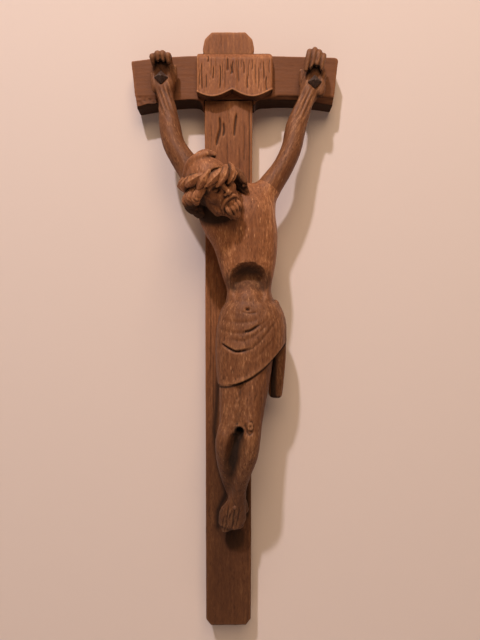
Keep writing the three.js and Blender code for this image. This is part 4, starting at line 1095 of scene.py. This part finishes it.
beams = {
    "thick": 15, "top": 69, "tall": 420, "shaft": 34, "foot": 31.8, "flare": 1.4,
    "headChamfer": (5, 5.2), "footChamfer": (3.6, 4.6), "crossLow": 20.5, "crossTall": 31.5,
    "leftReach": 68.9, "rightReach": 77.7, "arris": 1.1, "gap": 0.3, "lapBack": 7.35, "lapFront": 7.65,
    "dowelAside": 7, "dowelHole": 2.75, "corner": 6.5,
}
hanger = {
    "wide": 15, "tall": 38, "thick": 1.4, "corner": 3, "entry": 4.4, "slot": 2.3, "drop": 8, "middle": -4.0,
    "pocketSide": 1.2, "pocketDeep": 6.6, "screwAway": 14.4,
}


def arc(x, z, radius, start, end, count=8):
    return [(x + radius * math.cos(math.radians(a)), z + radius * math.sin(math.radians(a)))
            for a in np.linspace(start, end, count + 1)]


def bent(a, b, c, count=10):  # quadratic curve through two ends, pulled towards b
    return [tuple((1 - t) ** 2 * p + 2 * t * (1 - t) * q + t * t * r for p, q, r in zip(a, b, c))
            for t in np.linspace(0, 1, count + 1)]


def uprightOutline():
    top, half = beams["top"], beams["shaft"] / 2
    foot, under = top - beams["tall"], beams["crossLow"]
    above = under + beams["crossTall"]
    inward, down = beams["headChamfer"]
    side = [
        (beams["foot"] / 2 - beams["footChamfer"][0], foot),
        (beams["foot"] / 2, foot + beams["footChamfer"][1]), (half, under), (half, above),
        (half + beams["flare"], above + 4), (half + beams["flare"] * 0.8, top - 2 * down), (half, top - down),
        (half - inward, top),
    ]
    return side + [(-x, z) for x, z in reversed(side)]


def crossbeamOutline():
    under, top = beams["crossLow"], beams["crossLow"] + beams["crossTall"]
    left, right, curve = -beams["leftReach"], beams["rightReach"], beams["corner"]
    hug = beams["shaft"] / 2 + beams["gap"]
    flat = hug + curve
    line = bent((left + 3.6, under - 5.2), (left * 0.55, under + 0.6), (-flat, under))
    line += arc(-flat, under - curve, curve, 90, 0) + [(-hug, under), (hug, under)]
    line += arc(flat, under - curve, curve, 180, 90)
    line += bent((flat, under), (right * 0.6, under + 2.2), (right - 3.6, under - 2.6))[1:]
    line += bent((right, top - 4.4), (right, top - 1.4), (right - 3, top - 1.4), 5)
    return line + [(flat, top)] + bent((-flat, top), (left * 0.7, top - 0.8), (left, top - 4))


def dowelHoles(block, back, front):  # the two dowels of the crossing
    for x in (-beams["dowelAside"], beams["dowelAside"]):
        middle = beams["crossLow"] + beams["crossTall"] / 2
        cutWood(block, rod(x, middle, beams["dowelHole"], back, front), 0.2)


def roundedBox(wide, tall, corner, middle):
    x, z = wide / 2 - corner, tall / 2 - corner
    return (arc(x, middle + z, corner, 0, 90, 5) + arc(-x, middle + z, corner, 90, 180, 5)
            + arc(-x, middle - z, corner, 180, 270, 5) + arc(x, middle - z, corner, 270, 360, 5))


def keyGouges(x, z):  # the long cuts that a carver leaves beside the figure and under the title
    out = np.zeros(len(x))
    cuts = [
        ([(-6.4, 9.2), (-5.8, 1), (-7.6, -6.5), (-8.6, -12)], 1.0, 1.7),
        ([(-3.8, 5), (-3.2, -1), (-4, -5)], 0.9, 1.4),
        ([(5.8, 11), (4.8, 4), (3.9, -5.6)], 0.9, 1.5), ([(0.6, 16), (0.2, 9), (0.6, 3)], 0.6, 0.35),
        ([(-12.5, 4), (-12, -8), (-12.6, -18)], 0.7, 0.35), ([(11, 6), (11.6, -10), (10.6, -24)], 0.8, 0.4),
        ([(-1, -8), (-0.4, -20), (-1.2, -32)], 0.7, 0.35), ([(7.6, -12), (8, -24), (7.2, -36)], 0.6, 0.4),
        ([(-12.6, -104), (-12.4, -140), (-12.8, -176), (-12.4, -196)], 0.4, 0.5),
        ([(-10.6, -96), (-10.4, -124), (-10.8, -150)], 0.35, 0.35),
        ([(-11, -156), (-10.6, -176), (-11, -204)], 0.4, 0.45),
        ([(-8.6, -100), (-8.4, -130), (-8.8, -152)], 0.35, 0.3),
    ]
    for line, width, depth in cuts:
        gap, _, share = lineGap(x, z, line)
        width = width * (0.35 + 0.65 * np.sin(np.pi * unit(share)))
        out -= depth * bell(gap, width) * fadeEnds(share, 0.15)
    return out


def grainRelief(points, along, seed, size):  # shallow cuts that follow the grain on a plank's faces
    turned = points if along == 2 else points[:, [2, 1, 0]]
    scoop = gougeMarks(turned, (size, size, 14), seed)
    fine = softNoise(turned, (0.8, 0.8, 11), seed + 1)
    broad = softNoise(turned, (5, 5, 40), seed + 2)
    return 0.12 * (scoop ** 2 - 0.6) + 0.07 * fine + 0.16 * broad - 0.1


def makeUpright():
    thick, gap, under = beams["thick"], beams["gap"], beams["crossLow"]
    step = ((0.56, 0.56, 1.3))
    block = newBlock((-20, -thick - 1.2, beams["top"] - beams["tall"] - 2), (20, 1.4, beams["top"] + 2), step)
    addWood(block, outlined(uprightOutline(), -thick, 0, beams["arris"]), 0.3)
    above = under + beams["crossTall"]
    cutWood(block, brick((-40, -thick + beams["lapBack"], under - gap), (40, 9, above + gap)), 0.15)
    plate = roundedBox(hanger["wide"] + 2 * gap, hanger["tall"] + 2 * gap, hanger["corner"], hanger["middle"])
    cutWood(block, outlined(plate, -thick - 4, -thick + hanger["thick"] + gap, 0.1), 0.15)
    side = hanger["entry"] + hanger["pocketSide"]
    deep = -thick + hanger["thick"] + hanger["pocketDeep"]
    pocket = (-side, -thick - 2, -hanger["drop"] - side), (side, deep, hanger["slot"] + hanger["pocketSide"])
    cutWood(block, brick(*pocket), 0.3)
    dowelHoles(block, -thick - 4, 4)
    for seat in ("First", "Second"):
        x, _, z = screws["corpus"][seat]
        cutWood(block, countersink(x, z, 4.3, 2.3, -thick, 40), 0.15)

    def relief(points, normals):
        front = unit(normals[:, 1] * 1.5 - 0.3)
        back = unit(-normals[:, 1] * 1.5 - 0.3)
        out = (1 - 0.85 * back) * grainRelief(points, 2, 31, 2.6)
        x, z = points[:, 0], points[:, 2]
        out += front * keyGouges(x, z)
        out += front * groove(x, z, [(14.6, 14), (14.9, -6), (14.7, -40), (14.9, -60)], 0.5, 0.7, 0.1)
        return out

    def paintedShade(points):  # painted shadow beside the legs and the foot, and below the foot
        x, d, z = points.T
        leg = [
            (-7, -176), (-8.8, -200), (-9.8, -214), (-8, -230), (-5.6, -243), (-1.8, -257), (-6.8, -268),
            (-7.6, -281),
        ]
        beside = lineGap(x, z, leg)[0]
        after = lineGap(x, z, [(11, -240), (12.2, -256), (12.4, -272)])[0]
        below = unit((1 - ((x - 4) / 8.5) ** 2 - ((z + 288) / 11) ** 2) / 0.5)
        lines = 0.5 * bell(beside, 2) + 0.5 * bell(after, 2.6)
        return (lines + 0.35 * below) * (d > -3)

    return carve("upright_carving", block, relief, paintedShade=paintedShade)


def makeCrossbeam():
    thick, under = beams["thick"], beams["crossLow"]
    left, right = -beams["leftReach"], beams["rightReach"]
    step = ((0.9, 0.5, 0.5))
    above = under + beams["crossTall"]
    block = newBlock((left - 2, -thick - 1, under - 9), (right + 2, 1.2, above + 2), step)
    addWood(block, outlined(crossbeamOutline(), -thick, 0, 0.8), 0.3)
    hug = beams["shaft"] / 2 + beams["gap"]
    cutWood(block, brick((-hug, -thick - 9, 0), (hug, -thick + beams["lapFront"], 80)), 0.15)

    def planedEdge(x, d, z):  # grows along the right arm
        start = beams["shaft"] / 2 + beams["corner"]
        share = unit((x - start) / 12) * 0.8 + unit((x - start - 12) / 40) * 0.2
        size = 3.2 * share
        fall = 2.6 * np.clip((x - start) / (right - start), 0, 2) ** 2
        edge = under - fall + 0.6 * share
        plane = (z - edge - 1.3 * (d + size)) / 1.64
        return np.maximum(plane, start - x)

    cutWood(block, ((23, -8, under - 9), (right + 4, 4, under + 9), planedEdge), 0.5)
    dowelHoles(block, -thick - 4, 4)
    for arm in arms.values():
        x1, z1 = arm["hand"]
        cutWood(block, rod(x1, z1 - 3.2, 1.6, -9, 4), 0.2)

    def relief(points, normals):
        x, d, z = points.T
        back = unit(-normals[:, 1] * 1.5 - 0.3)
        out = (1 - 0.8 * back) * 0.8 * grainRelief(points, 0, 41, 3.0)
        chips = gougeMarks(points, (3.2, 3, 2.2), 43)
        worn = unit((-34 - x) / 14) * unit((under + 3.5 - z) / 3) * unit((d + 4) / 3)
        return out - worn * 1.1 * (1 - chips)

    return carve("crossbeam_carving", block, relief, undersideShade=0.8)


# The title board: two lobes with a scalloped lower edge, cut with upright gouge strokes

title = {
    "offset": 4.3, "wide": 53, "thick": 6, "swell": 0.5, "sideDrop": 2.2, "scallop": 5.1, "pitch": 27.8,
    "centre": 2.6, "sharp": 1.1, "corner": 3.0, "strokes": 26, "seed": 5,
}


def titleWave(x):
    return np.abs(np.sin(np.pi * (x - title["centre"]) / title["pitch"]))


def titleEdge(x):
    return beams["crossLow"] + title["sideDrop"] + 1.8 - title["scallop"] * titleWave(x) ** title["sharp"]


def makeTitle():
    left, right = title["offset"] - title["wide"] / 2, title["offset"] + title["wide"] / 2
    top = beams["crossLow"] + beams["crossTall"]
    step = ((0.33, 0.4, 0.55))
    block = newBlock((left - 2, 0, beams["crossLow"] - 4), (right + 2, 9, top + 2), step)

    def measure(x, d, z):
        swell = title["swell"] * titleWave(x) ** 0.7 * (1 - 0.3 * (z - 20) / 30)
        front = beams["gap"] + title["thick"] + swell
        front = front - 4.2 * unit((z - top + 5.5) / 5.5) ** 1.3  # rounds over towards the upright's head
        rim = np.minimum(x - left, right - x)
        front = front - 0.8 * unit(1 - rim / 1.6) ** 2
        aside = np.abs(x - title["offset"]) - title["wide"] / 2 + title["corner"]
        corner = np.hypot(np.maximum(aside, 0), np.maximum(z - top + title["corner"], 0)) - title["corner"]
        sides = np.maximum(corner, np.minimum(aside, 0) - title["corner"])
        sides = np.maximum(sides, (titleEdge(x) - z) * 0.9)
        return np.maximum(np.maximum(sides, d - front), beams["gap"] - d)

    addWood(block, ((left, 0, 10), (right, 8, top), measure), 0.4)
    dowelHoles(block, -4, 4.1)
    random = np.random.default_rng(title["seed"])
    strokes = []
    for n in range(title["strokes"]):
        x = left + 1.6 + (title["wide"] - 3.2) * (n + random.uniform(-0.35, 0.35) + 0.5) / title["strokes"]
        high = top - 2 - abs(random.normal(0, 8))
        reach = random.uniform(5, 20)
        lean = random.uniform(-0.05, 0.05)
        end = max(high - reach, titleEdge(x) + 1)
        bend = x + lean * reach / 2 + random.uniform(-0.6, 0.6)
        line = [(x, high), (bend, (high + end) / 2), (x + lean * reach, end)]
        strokes.append((line, random.uniform(0.45, 1.0), random.uniform(0.25, 0.95)))

    def relief(points, normals):
        x, d, z = points.T
        front = unit(normals[:, 1] * 1.5 - 0.2)
        out = 0.85 * grainRelief(points, 2, 51, 1.6) * unit(normals[:, 1] + 1)
        for line, width, depth in strokes:
            near = np.abs(x - line[0][0]) < 3.5
            if near.any():
                gap, _, share = lineGap(x[near], z[near], line, 8)
                cut = depth * unit(1 - gap / (width * (0.5 + share))) * fadeEnds(share, 0.22)
                out[near] -= front[near] * cut
        out += front * mound(x, z, (4.6, 34), (1.9, 16), 0.5)
        out += front * 0.45 * bell(z - titleEdge(x) - 0.8, 0.6)
        out += front * 0.5 * bell(x - left - 1.0, 0.6)
        return out

    def paintedShade(points):  # painted shade along its top edge
        x, d, z = points.T
        return 0.5 * unit((z - top + 1.6) / 1.4)

    return carve("title_carving", block, relief, paintedShade=paintedShade, undersideShade=0.6)


# Screws with slotted heads, turned as one body each and seen only from behind

screws = {
    "corpus": {
        "Head Radius": 4.0, "Shank Radius": 1.9, "Length": 22.0, "Slot Width": 0.9, "Slot Depth": 1.0,
        "First": (7.0, 0.0, -74.0), "Second": (7.0, 0.0, -149.0), "Turn": 0.4,
    },
    "hanger": {
        "Head Radius": 2.6, "Shank Radius": 1.3, "Length": 8.6, "Slot Width": 0.7, "Slot Depth": 0.7,
        "First": (0.0, 0.0, hanger["middle"] + hanger["screwAway"]),
        "Second": (0.0, 0.0, hanger["middle"] - hanger["screwAway"]), "Turn": 0.4,
    },
}


def screwTree():
    add, size = geometryTree("slottedScrew", screws["corpus"])

    # one turned body: a rim 0.4 mm high, a head that tapers at 45 degrees, then the shank
    bar = add("GeometryNodeMeshCylinder", {"Vertices": 40, "Side Segments": 60, "Radius": 1.0,
                                           "Depth": size["Length"]})[0]
    at = add("ShaderNodeSeparateXYZ", {0: add("GeometryNodeInputPosition")[0]})
    rise = at[2] + size["Length"] * 0.5
    taper = work("MAXIMUM", size["Shank Radius"], size["Head Radius"] + 0.4 - rise)
    radius = work("MINIMUM", size["Head Radius"], taper)
    turned = vector(at[0] * radius, at[1] * radius, rise)
    body = add("GeometryNodeSetPosition", {"Geometry": bar, "Position": turned})[0]
    slotSize = vector(size["Head Radius"] * 1.7, size["Slot Width"], size["Slot Depth"] * 2.0)
    slot = add("GeometryNodeMeshCube", {"Size": slotSize})[0]
    cut = add("GeometryNodeMeshBoolean", {"Mesh 1": body, "Mesh 2": slot}, operation="DIFFERENCE")[0]
    ends = {"Count": 2, "Start Location": size["First"], "Offset": size["Second"]}
    line = add("GeometryNodeMeshLine", ends, mode="END_POINTS")[0]
    spin = vector(math.pi / 2, add("GeometryNodeInputIndex")[0] * 1.3 + size["Turn"], 0.0)
    inputs = {"Points": line, "Instance": cut, "Rotation": spin}
    return finishTree(add("GeometryNodeInstanceOnPoints", inputs)[0])


# Wood grain as one shader group: colours and heights only, with the grain along Z

wood = {
    "oak": {"dark": (0.12, 0.038, 0.014), "mid": (0.32, 0.12, 0.043), "light": (0.54, 0.25, 0.105)},
    "darkOak": {"dark": (0.11, 0.035, 0.014), "mid": (0.25, 0.092, 0.033), "light": (0.42, 0.18, 0.075)},
    "carvedOak": {"dark": (0.1, 0.034, 0.014), "mid": (0.27, 0.106, 0.041), "light": (0.58, 0.292, 0.135)},
    # armOak: the carved oak a little darker, painted shade for the arms, which the lamps light more strongly
    "armOak": {"dark": (0.1, 0.034, 0.014), "mid": (0.26, 0.102, 0.04), "light": (0.56, 0.278, 0.125)},
    # dark of the pores, and of the painted shade in hollows, creases, undersides and painted shadows
    "patina": (0.016, 0.009, 0.006),
}


def woodGroup():
    tree = bpy.data.node_groups.new("stainedOakGrain", "ShaderNodeTree")
    for way, kind, labels in (
            ("INPUT", "Vector", "Vector"), ("INPUT", "Color", "Dark Mid Light Patina"),
            ("INPUT", "Float", "Hollow Crest Pores Flecks Calm"), ("OUTPUT", "Color", "Color"),
            ("OUTPUT", "Float", "Roughness Height")):
        for label in labels.split():
            tree.interface.new_socket(label, in_out=way, socket_type="NodeSocket" + kind)
    add = functools.partial(addNode, tree)
    source = add("NodeGroupInput")

    def stretched(across, along):  # waves to a millimetre across the grain and along it
        scale = (across * 1000, across * 1000, along * 1000)
        return add("ShaderNodeVectorMath", {0: source["Vector"], 1: scale}, operation="MULTIPLY")[0]

    def noise(across, along, detail, rough=0.55):
        return add("ShaderNodeTexNoise", {"Vector": stretched(across, along), "Scale": 1.0, "Detail": detail,
                                          "Roughness": rough})[0]

    def cells(across):
        return add("ShaderNodeTexVoronoi", {"Vector": stretched(across, 0.24), "Scale": 1.0}, feature="F1")

    streak, fibre = noise(0.62, 0.14, 4.0, 0.66), noise(2.4, 0.45, 2.0)
    ringsAt = add("ShaderNodeVectorMath", {0: stretched(0.26, 0.004), 1: (3.1, 5.2, 0.0)}, operation="ADD")[0]
    rings = add("ShaderNodeTexWave", {"Vector": ringsAt, "Scale": 0.42, "Distortion": 3.5, "Detail": 2.0,
                                      "Detail Scale": 1.2}, wave_type="RINGS", rings_direction="Z")[1]
    tone = noise(0.06, 0.012, 2.0) * 0.5 + streak * 0.62 + fibre * 0.34 + rings * 0.06
    tone = tone.spread(0.6, 0.93)
    tone = tone + (0.5 - tone) * source["Calm"]
    pore = cells(0.95)["Distance"].spread(0.16, 0.4, 1.0, 0.0) * noise(0.3, 0.05, 2.0).spread(0.36, 0.6)
    pore = pore * source["Pores"]
    chips = cells(0.8)
    rare = add("ShaderNodeSeparateColor", {0: chips["Color"]})[0].spread(0.62, 0.8)
    patchy = source["Flecks"] * noise(0.16, 0.09, 3.0).spread(0.42, 0.62)
    fleck = chips["Distance"].spread(0.14, 0.42, 1.0, 0.0) * rare * patchy
    hollow, crest = source["Hollow"], source["Crest"]
    color = blend(tone, source["Dark"], source["Mid"])
    # grain tone, pores and flecks, then ridges lighter as wear and painted highlight, creases and hollows
    # darker as painted shade
    for factor, shade in (
            (tone.spread(0.6, 1.0) * 0.5, "Light"), (pore * 0.6, "Patina"), (fleck * 0.55, "Light"),
            (crest.spread(0.06, 0.5, 0.0, 0.3), "Light"), (crest.spread(-0.06, -0.32, 0.0, 0.75), "Patina"),
            (hollow.spread(0.12, 0.78, 0.0, 0.92), "Patina")):
        color = blend(factor, color, source[shade])
    rough = streak.spread(0.2, 0.8, 0.5, 0.66) + pore * 0.25 + hollow.spread(0.1, 0.7, 0.0, 0.3)
    height = fibre * 0.55 - pore + (streak * 0.7 + fleck * 0.5)
    add("NodeGroupOutput", {0: color, 1: rough, 2: height})
    return tree


woodGrain = woodGroup()


def newMaterial(name):
    material = bpy.data.materials.new(name)
    material.use_nodes = True
    material.node_tree.nodes.clear()
    return material, functools.partial(addNode, material.node_tree)


def surface(add, color, rough, height, strength, distance, extra=None):
    bump = add("ShaderNodeBump", {"Height": height, "Strength": strength, "Distance": distance})[0]
    inputs = {"Base Color": color, "Roughness": rough, "Normal": bump, **(extra or {})}
    add("ShaderNodeOutputMaterial", {"Surface": add("ShaderNodeBsdfPrincipled", inputs)[0]})


def woodMaterial(name, kind, turn=(0, 0, 0), shift=(0, 0, 0), pores=0.8, flecks=0.6, calm=0.3, lift=1.0,
                 liftFrom=(-0.124, -0.1), lowFrom=(-0.12, -0.26), low=0.5):
    material, add = newMaterial(name)
    place = add("ShaderNodeTexCoord")["Object"]
    mapping = add("ShaderNodeMapping", {"Vector": place, "Rotation": turn, "Location": shift})[0]
    inputs = {key.capitalize(): (*value, 1) for key, value in wood[kind].items()}
    inputs |= {"Patina": (*wood["patina"], 1), "Pores": pores, "Flecks": flecks, "Calm": calm}
    inputs["Vector"] = mapping
    for key in ("hollow", "crest"):
        inputs[key.capitalize()] = add("ShaderNodeAttribute", attribute_name=key)["Fac"]
    grainNode = add("ShaderNodeGroup", inputs, node_tree=woodGrain)
    height = add("ShaderNodeSeparateXYZ", {0: place})[2]
    foot = height.spread(*lowFrom, 1.0, low)  # darker towards the foot
    both = foot * height.spread(*liftFrom, 1.0, lift)  # and lighter in the upper part
    toned = add("ShaderNodeVectorMath", {0: grainNode["Color"], 1: both}, operation="MULTIPLY")[0]
    surface(add, toned, grainNode["Roughness"], grainNode["Height"], 0.35, 0.0003,
            {"Specular IOR Level": 0.2})
    return material


def metalMaterial(name, color, rough, roughSpan, metallic, bump, scale):
    material, add = newMaterial(name)
    place = add("ShaderNodeTexCoord")["Object"]
    wear = add("ShaderNodeTexNoise", {"Vector": place, "Scale": scale, "Detail": 5.0})[0]
    fine = add("ShaderNodeTexNoise", {"Vector": place, "Scale": scale * 6, "Detail": 2.0})[0]
    shades = [(*[min(c * share, 1) for c in color], 1) for share in (0.62, 1.3)]
    surface(add, blend(wear.spread(0.3, 0.7), *shades), fine.spread(0.3, 0.7, rough, rough + roughSpan), wear,
            bump, 0.0002, {"Metallic": metallic})
    return material


def dowelMaterial():  # plain beech, with rings on the sawn ends
    material, add = newMaterial("plainBeech")
    place = add("ShaderNodeTexCoord")["Object"]
    rings = add("ShaderNodeTexWave", {"Vector": place, "Scale": 260.0, "Distortion": 2.0, "Detail": 2.0},
                wave_type="RINGS", rings_direction="Y")[1]
    specks = add("ShaderNodeTexNoise", {"Vector": place, "Scale": 2600.0, "Detail": 2.0})[0]
    color = blend(rings, (0.30, 0.18, 0.09, 1), (0.45, 0.29, 0.16, 1))
    surface(add, color, specks.spread(0.0, 1.0, 0.55, 0.75), specks, 0.3, 0.0002)
    return material


def dress(piece, material, slot, *nodes):
    piece.data.materials.clear()
    piece.data.materials.append(material)
    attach(piece, "root")
    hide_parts(*nodes)


def armTurn(arm):
    (x0, z0), (x1, z1) = arm["shoulder"], arm["hand"]
    return math.atan2(x0 - x1, z1 - z0)


beamOak = woodMaterial("oakUpright", "oak", pores=0.5, flecks=0.4, calm=0.45, lift=1.24,
                       liftFrom=(-0.24, -0.14), lowFrom=(-0.15, -0.27), low=0.48)
crossOak = woodMaterial("oakCrossbeam", "darkOak", turn=(0, math.pi / 2, 0), shift=(0.11, 0.03, 0.2),
                        pores=0.2, flecks=0.35, calm=0.75, lift=1.22)
titleOak = woodMaterial("oakTitle", "oak", shift=(0.3, 0.1, 0.0), pores=0.4, flecks=0.3, calm=0.4, lift=1.25)
bodyOak = woodMaterial("oakFigure", "carvedOak", shift=(0.07, 0.2, 0.1), flecks=1.0, lift=1.55,
                       lowFrom=(-0.17, -0.262), low=0.57)
crownOak = woodMaterial("oakCrown", "carvedOak", shift=(0.17, 0.1, 0.1), flecks=0.2, pores=0.3, lift=1.5)
iron = metalMaterial("darkIron", (0.075, 0.04, 0.027), 0.42, 0.2, 0.35, 0.6, 900.0)
rusty = metalMaterial("rustyIron", (0.17, 0.07, 0.035), 0.5, 0.2, 0.2, 0.6, 1100.0)
zinc = metalMaterial("zincPlate", (0.5, 0.51, 0.52), 0.28, 0.16, 1.0, 0.12, 500.0)
beech = dowelMaterial()

dress(makeUpright(), beamOak, "oak", "upright")
dress(makeCrossbeam(), crossOak, "oak", "crossbeam")
dress(makeTitle(), titleOak, "oak", "title_board")
dress(makeTrunk(), bodyOak, "carved_oak", "corpus")
dress(makeLegs(), bodyOak, "carved_oak", "corpus")
dress(makeHead(), bodyOak, "carved_oak", "corpus")
for side, node in (("right", "right_arm"), ("left", "left_arm")):
    armOak = woodMaterial(f"oak{side.capitalize()}Arm", "armOak", turn=(0, armTurn(arms[side]), 0),
                          flecks=0.8, calm=0.4, lift=1.55, liftFrom=(-0.035, -0.07))
    dress(makeArm(side), armOak, "carved_oak", node)

wreath = grow("thorn_crown", crownTree(), crown)
crownSeat = {"onHead": (-0.01, 0.185, -0.01), "lean": 17, "tip": 1}
x, d, z = fromHead(onHead(*crownSeat["onHead"])[None, :])[0]
seat = Vector((x, -(beamFront + d), z))
tilt = (Matrix(headTurn.tolist()) @ Matrix.Rotation(math.radians(crownSeat["lean"]), 3, "Y")
        @ Matrix.Rotation(math.radians(crownSeat["tip"]), 3, "X")).to_4x4()
wreath.data.transform(Matrix.Scale(mm, 4) @ Matrix.Translation(seat) @ tilt)
dress(wreath, crownOak, "carved_oak", "corpus")

slotted = screwTree()
for name, place, nodes in (("figure_screws", "corpus", ("corpus_screw_upper", "corpus_screw_lower")),
                           ("hanger_screws", "hanger", ("hanger_screw_upper", "hanger_screw_lower"))):
    pair = grow(name, slotted, screws[place])
    pair.data.transform(Matrix.Scale(mm, 4))
    dress(pair, zinc, "zinc_steel", *nodes)

for material, nodes in (
        (iron, ("hand_nail_right", "hand_nail_left")), (rusty, ("foot_nail",)), (zinc, ("hanger_plate",)),
        (beech, ("shoulder_dowel_right", "shoulder_dowel_left")),
        (beech, ("crossing_dowel_left", "crossing_dowel_right"))):
    for node in nodes:
        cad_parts[node].material_slots[0].material = material


# Stage: pale wall and floor, soft light from the upper left, camera where the photo was taken

def plain(name, color, seeThrough):
    material, add = newMaterial(name)
    result = add("ShaderNodeBsdfPrincipled", {"Base Color": (*color, 1), "Roughness": 0.9})[0]
    if seeThrough:  # from behind, and for light that comes from behind
        ray = add("ShaderNodeLightPath")["Is Shadow Ray"]
        clear = work("MAXIMUM", add("ShaderNodeNewGeometry")["Backfacing"], ray)
        nothing = add("ShaderNodeBsdfTransparent")[0]
        result = add("ShaderNodeMixShader", {0: clear, 1: result, 2: nothing})[0]
    add("ShaderNodeOutputMaterial", {"Surface": result})
    return material


def board(name, corners, material):
    mesh = bpy.data.meshes.new(name)
    mesh.from_pydata(corners, [], [(0, 1, 2, 3)])
    mesh.materials.append(material)
    piece = newObject(name, mesh)


floorZ = -1.0
board("wall", [(-3, 0.0008, floorZ), (3, 0.0008, floorZ), (3, 0.0008, 2.5), (-3, 0.0008, 2.5)],
      plain("paleWall", (0.74, 0.62, 0.56), True))
board("floor", [(-3, -3, floorZ), (3, -3, floorZ), (3, 3, floorZ), (-3, 3, floorZ)],
      plain("paleFloor", (0.80, 0.74, 0.69), False))
for name, place, aim, size, power, color in (
        ("lamp", (-0.368, -1.05, 1.283), (0.01, 0.0, -0.1), 0.07, 20.5, (0.92, 0.87, 0.95)),
        ("broad", (0.12, -1.1, 0.92), (0.01, 0.0, -0.1), 1.0, 15, (1.0, 0.75, 0.5)),
        ("behind", (0.7, 1.3, 0.7), (0.0, 0.0, -0.1), 1.2, 9, (1.0, 0.86, 0.74))):
    light = bpy.data.lights.new(name, "AREA")
    light.size = size
    light.energy = power
    light.color = color
    holder = newObject(name, light)
    holder.location = place
    holder.rotation_euler = (Vector(aim) - Vector(place)).to_track_quat("-Z", "Y").to_euler()
world = bpy.data.worlds.new("softRoom")
world.use_nodes = True
glow = world.node_tree.nodes["Background"].inputs
glow[0].default_value = (1.0, 0.9, 0.85, 1)
glow[1].default_value = 0.055
bpy.context.scene.world = world
bpy.context.scene.view_settings.view_transform = "Standard"

view = {"place": (0.00812, -0.347, -0.1349), "half": 320, "focal": 470.2}  # the last two in pixels
lens = bpy.data.cameras.new("camera")
lens.sensor_fit = "VERTICAL"
lens.angle = 2 * math.atan(view["half"] / view["focal"])
lens.clip_start = 0.01
cameraObject = newObject("camera", lens)
cameraObject.location = view["place"]
cameraObject.rotation_euler = (math.pi / 2, 0, 0)
bpy.context.scene.camera = cameraObject

print("stage: finished")
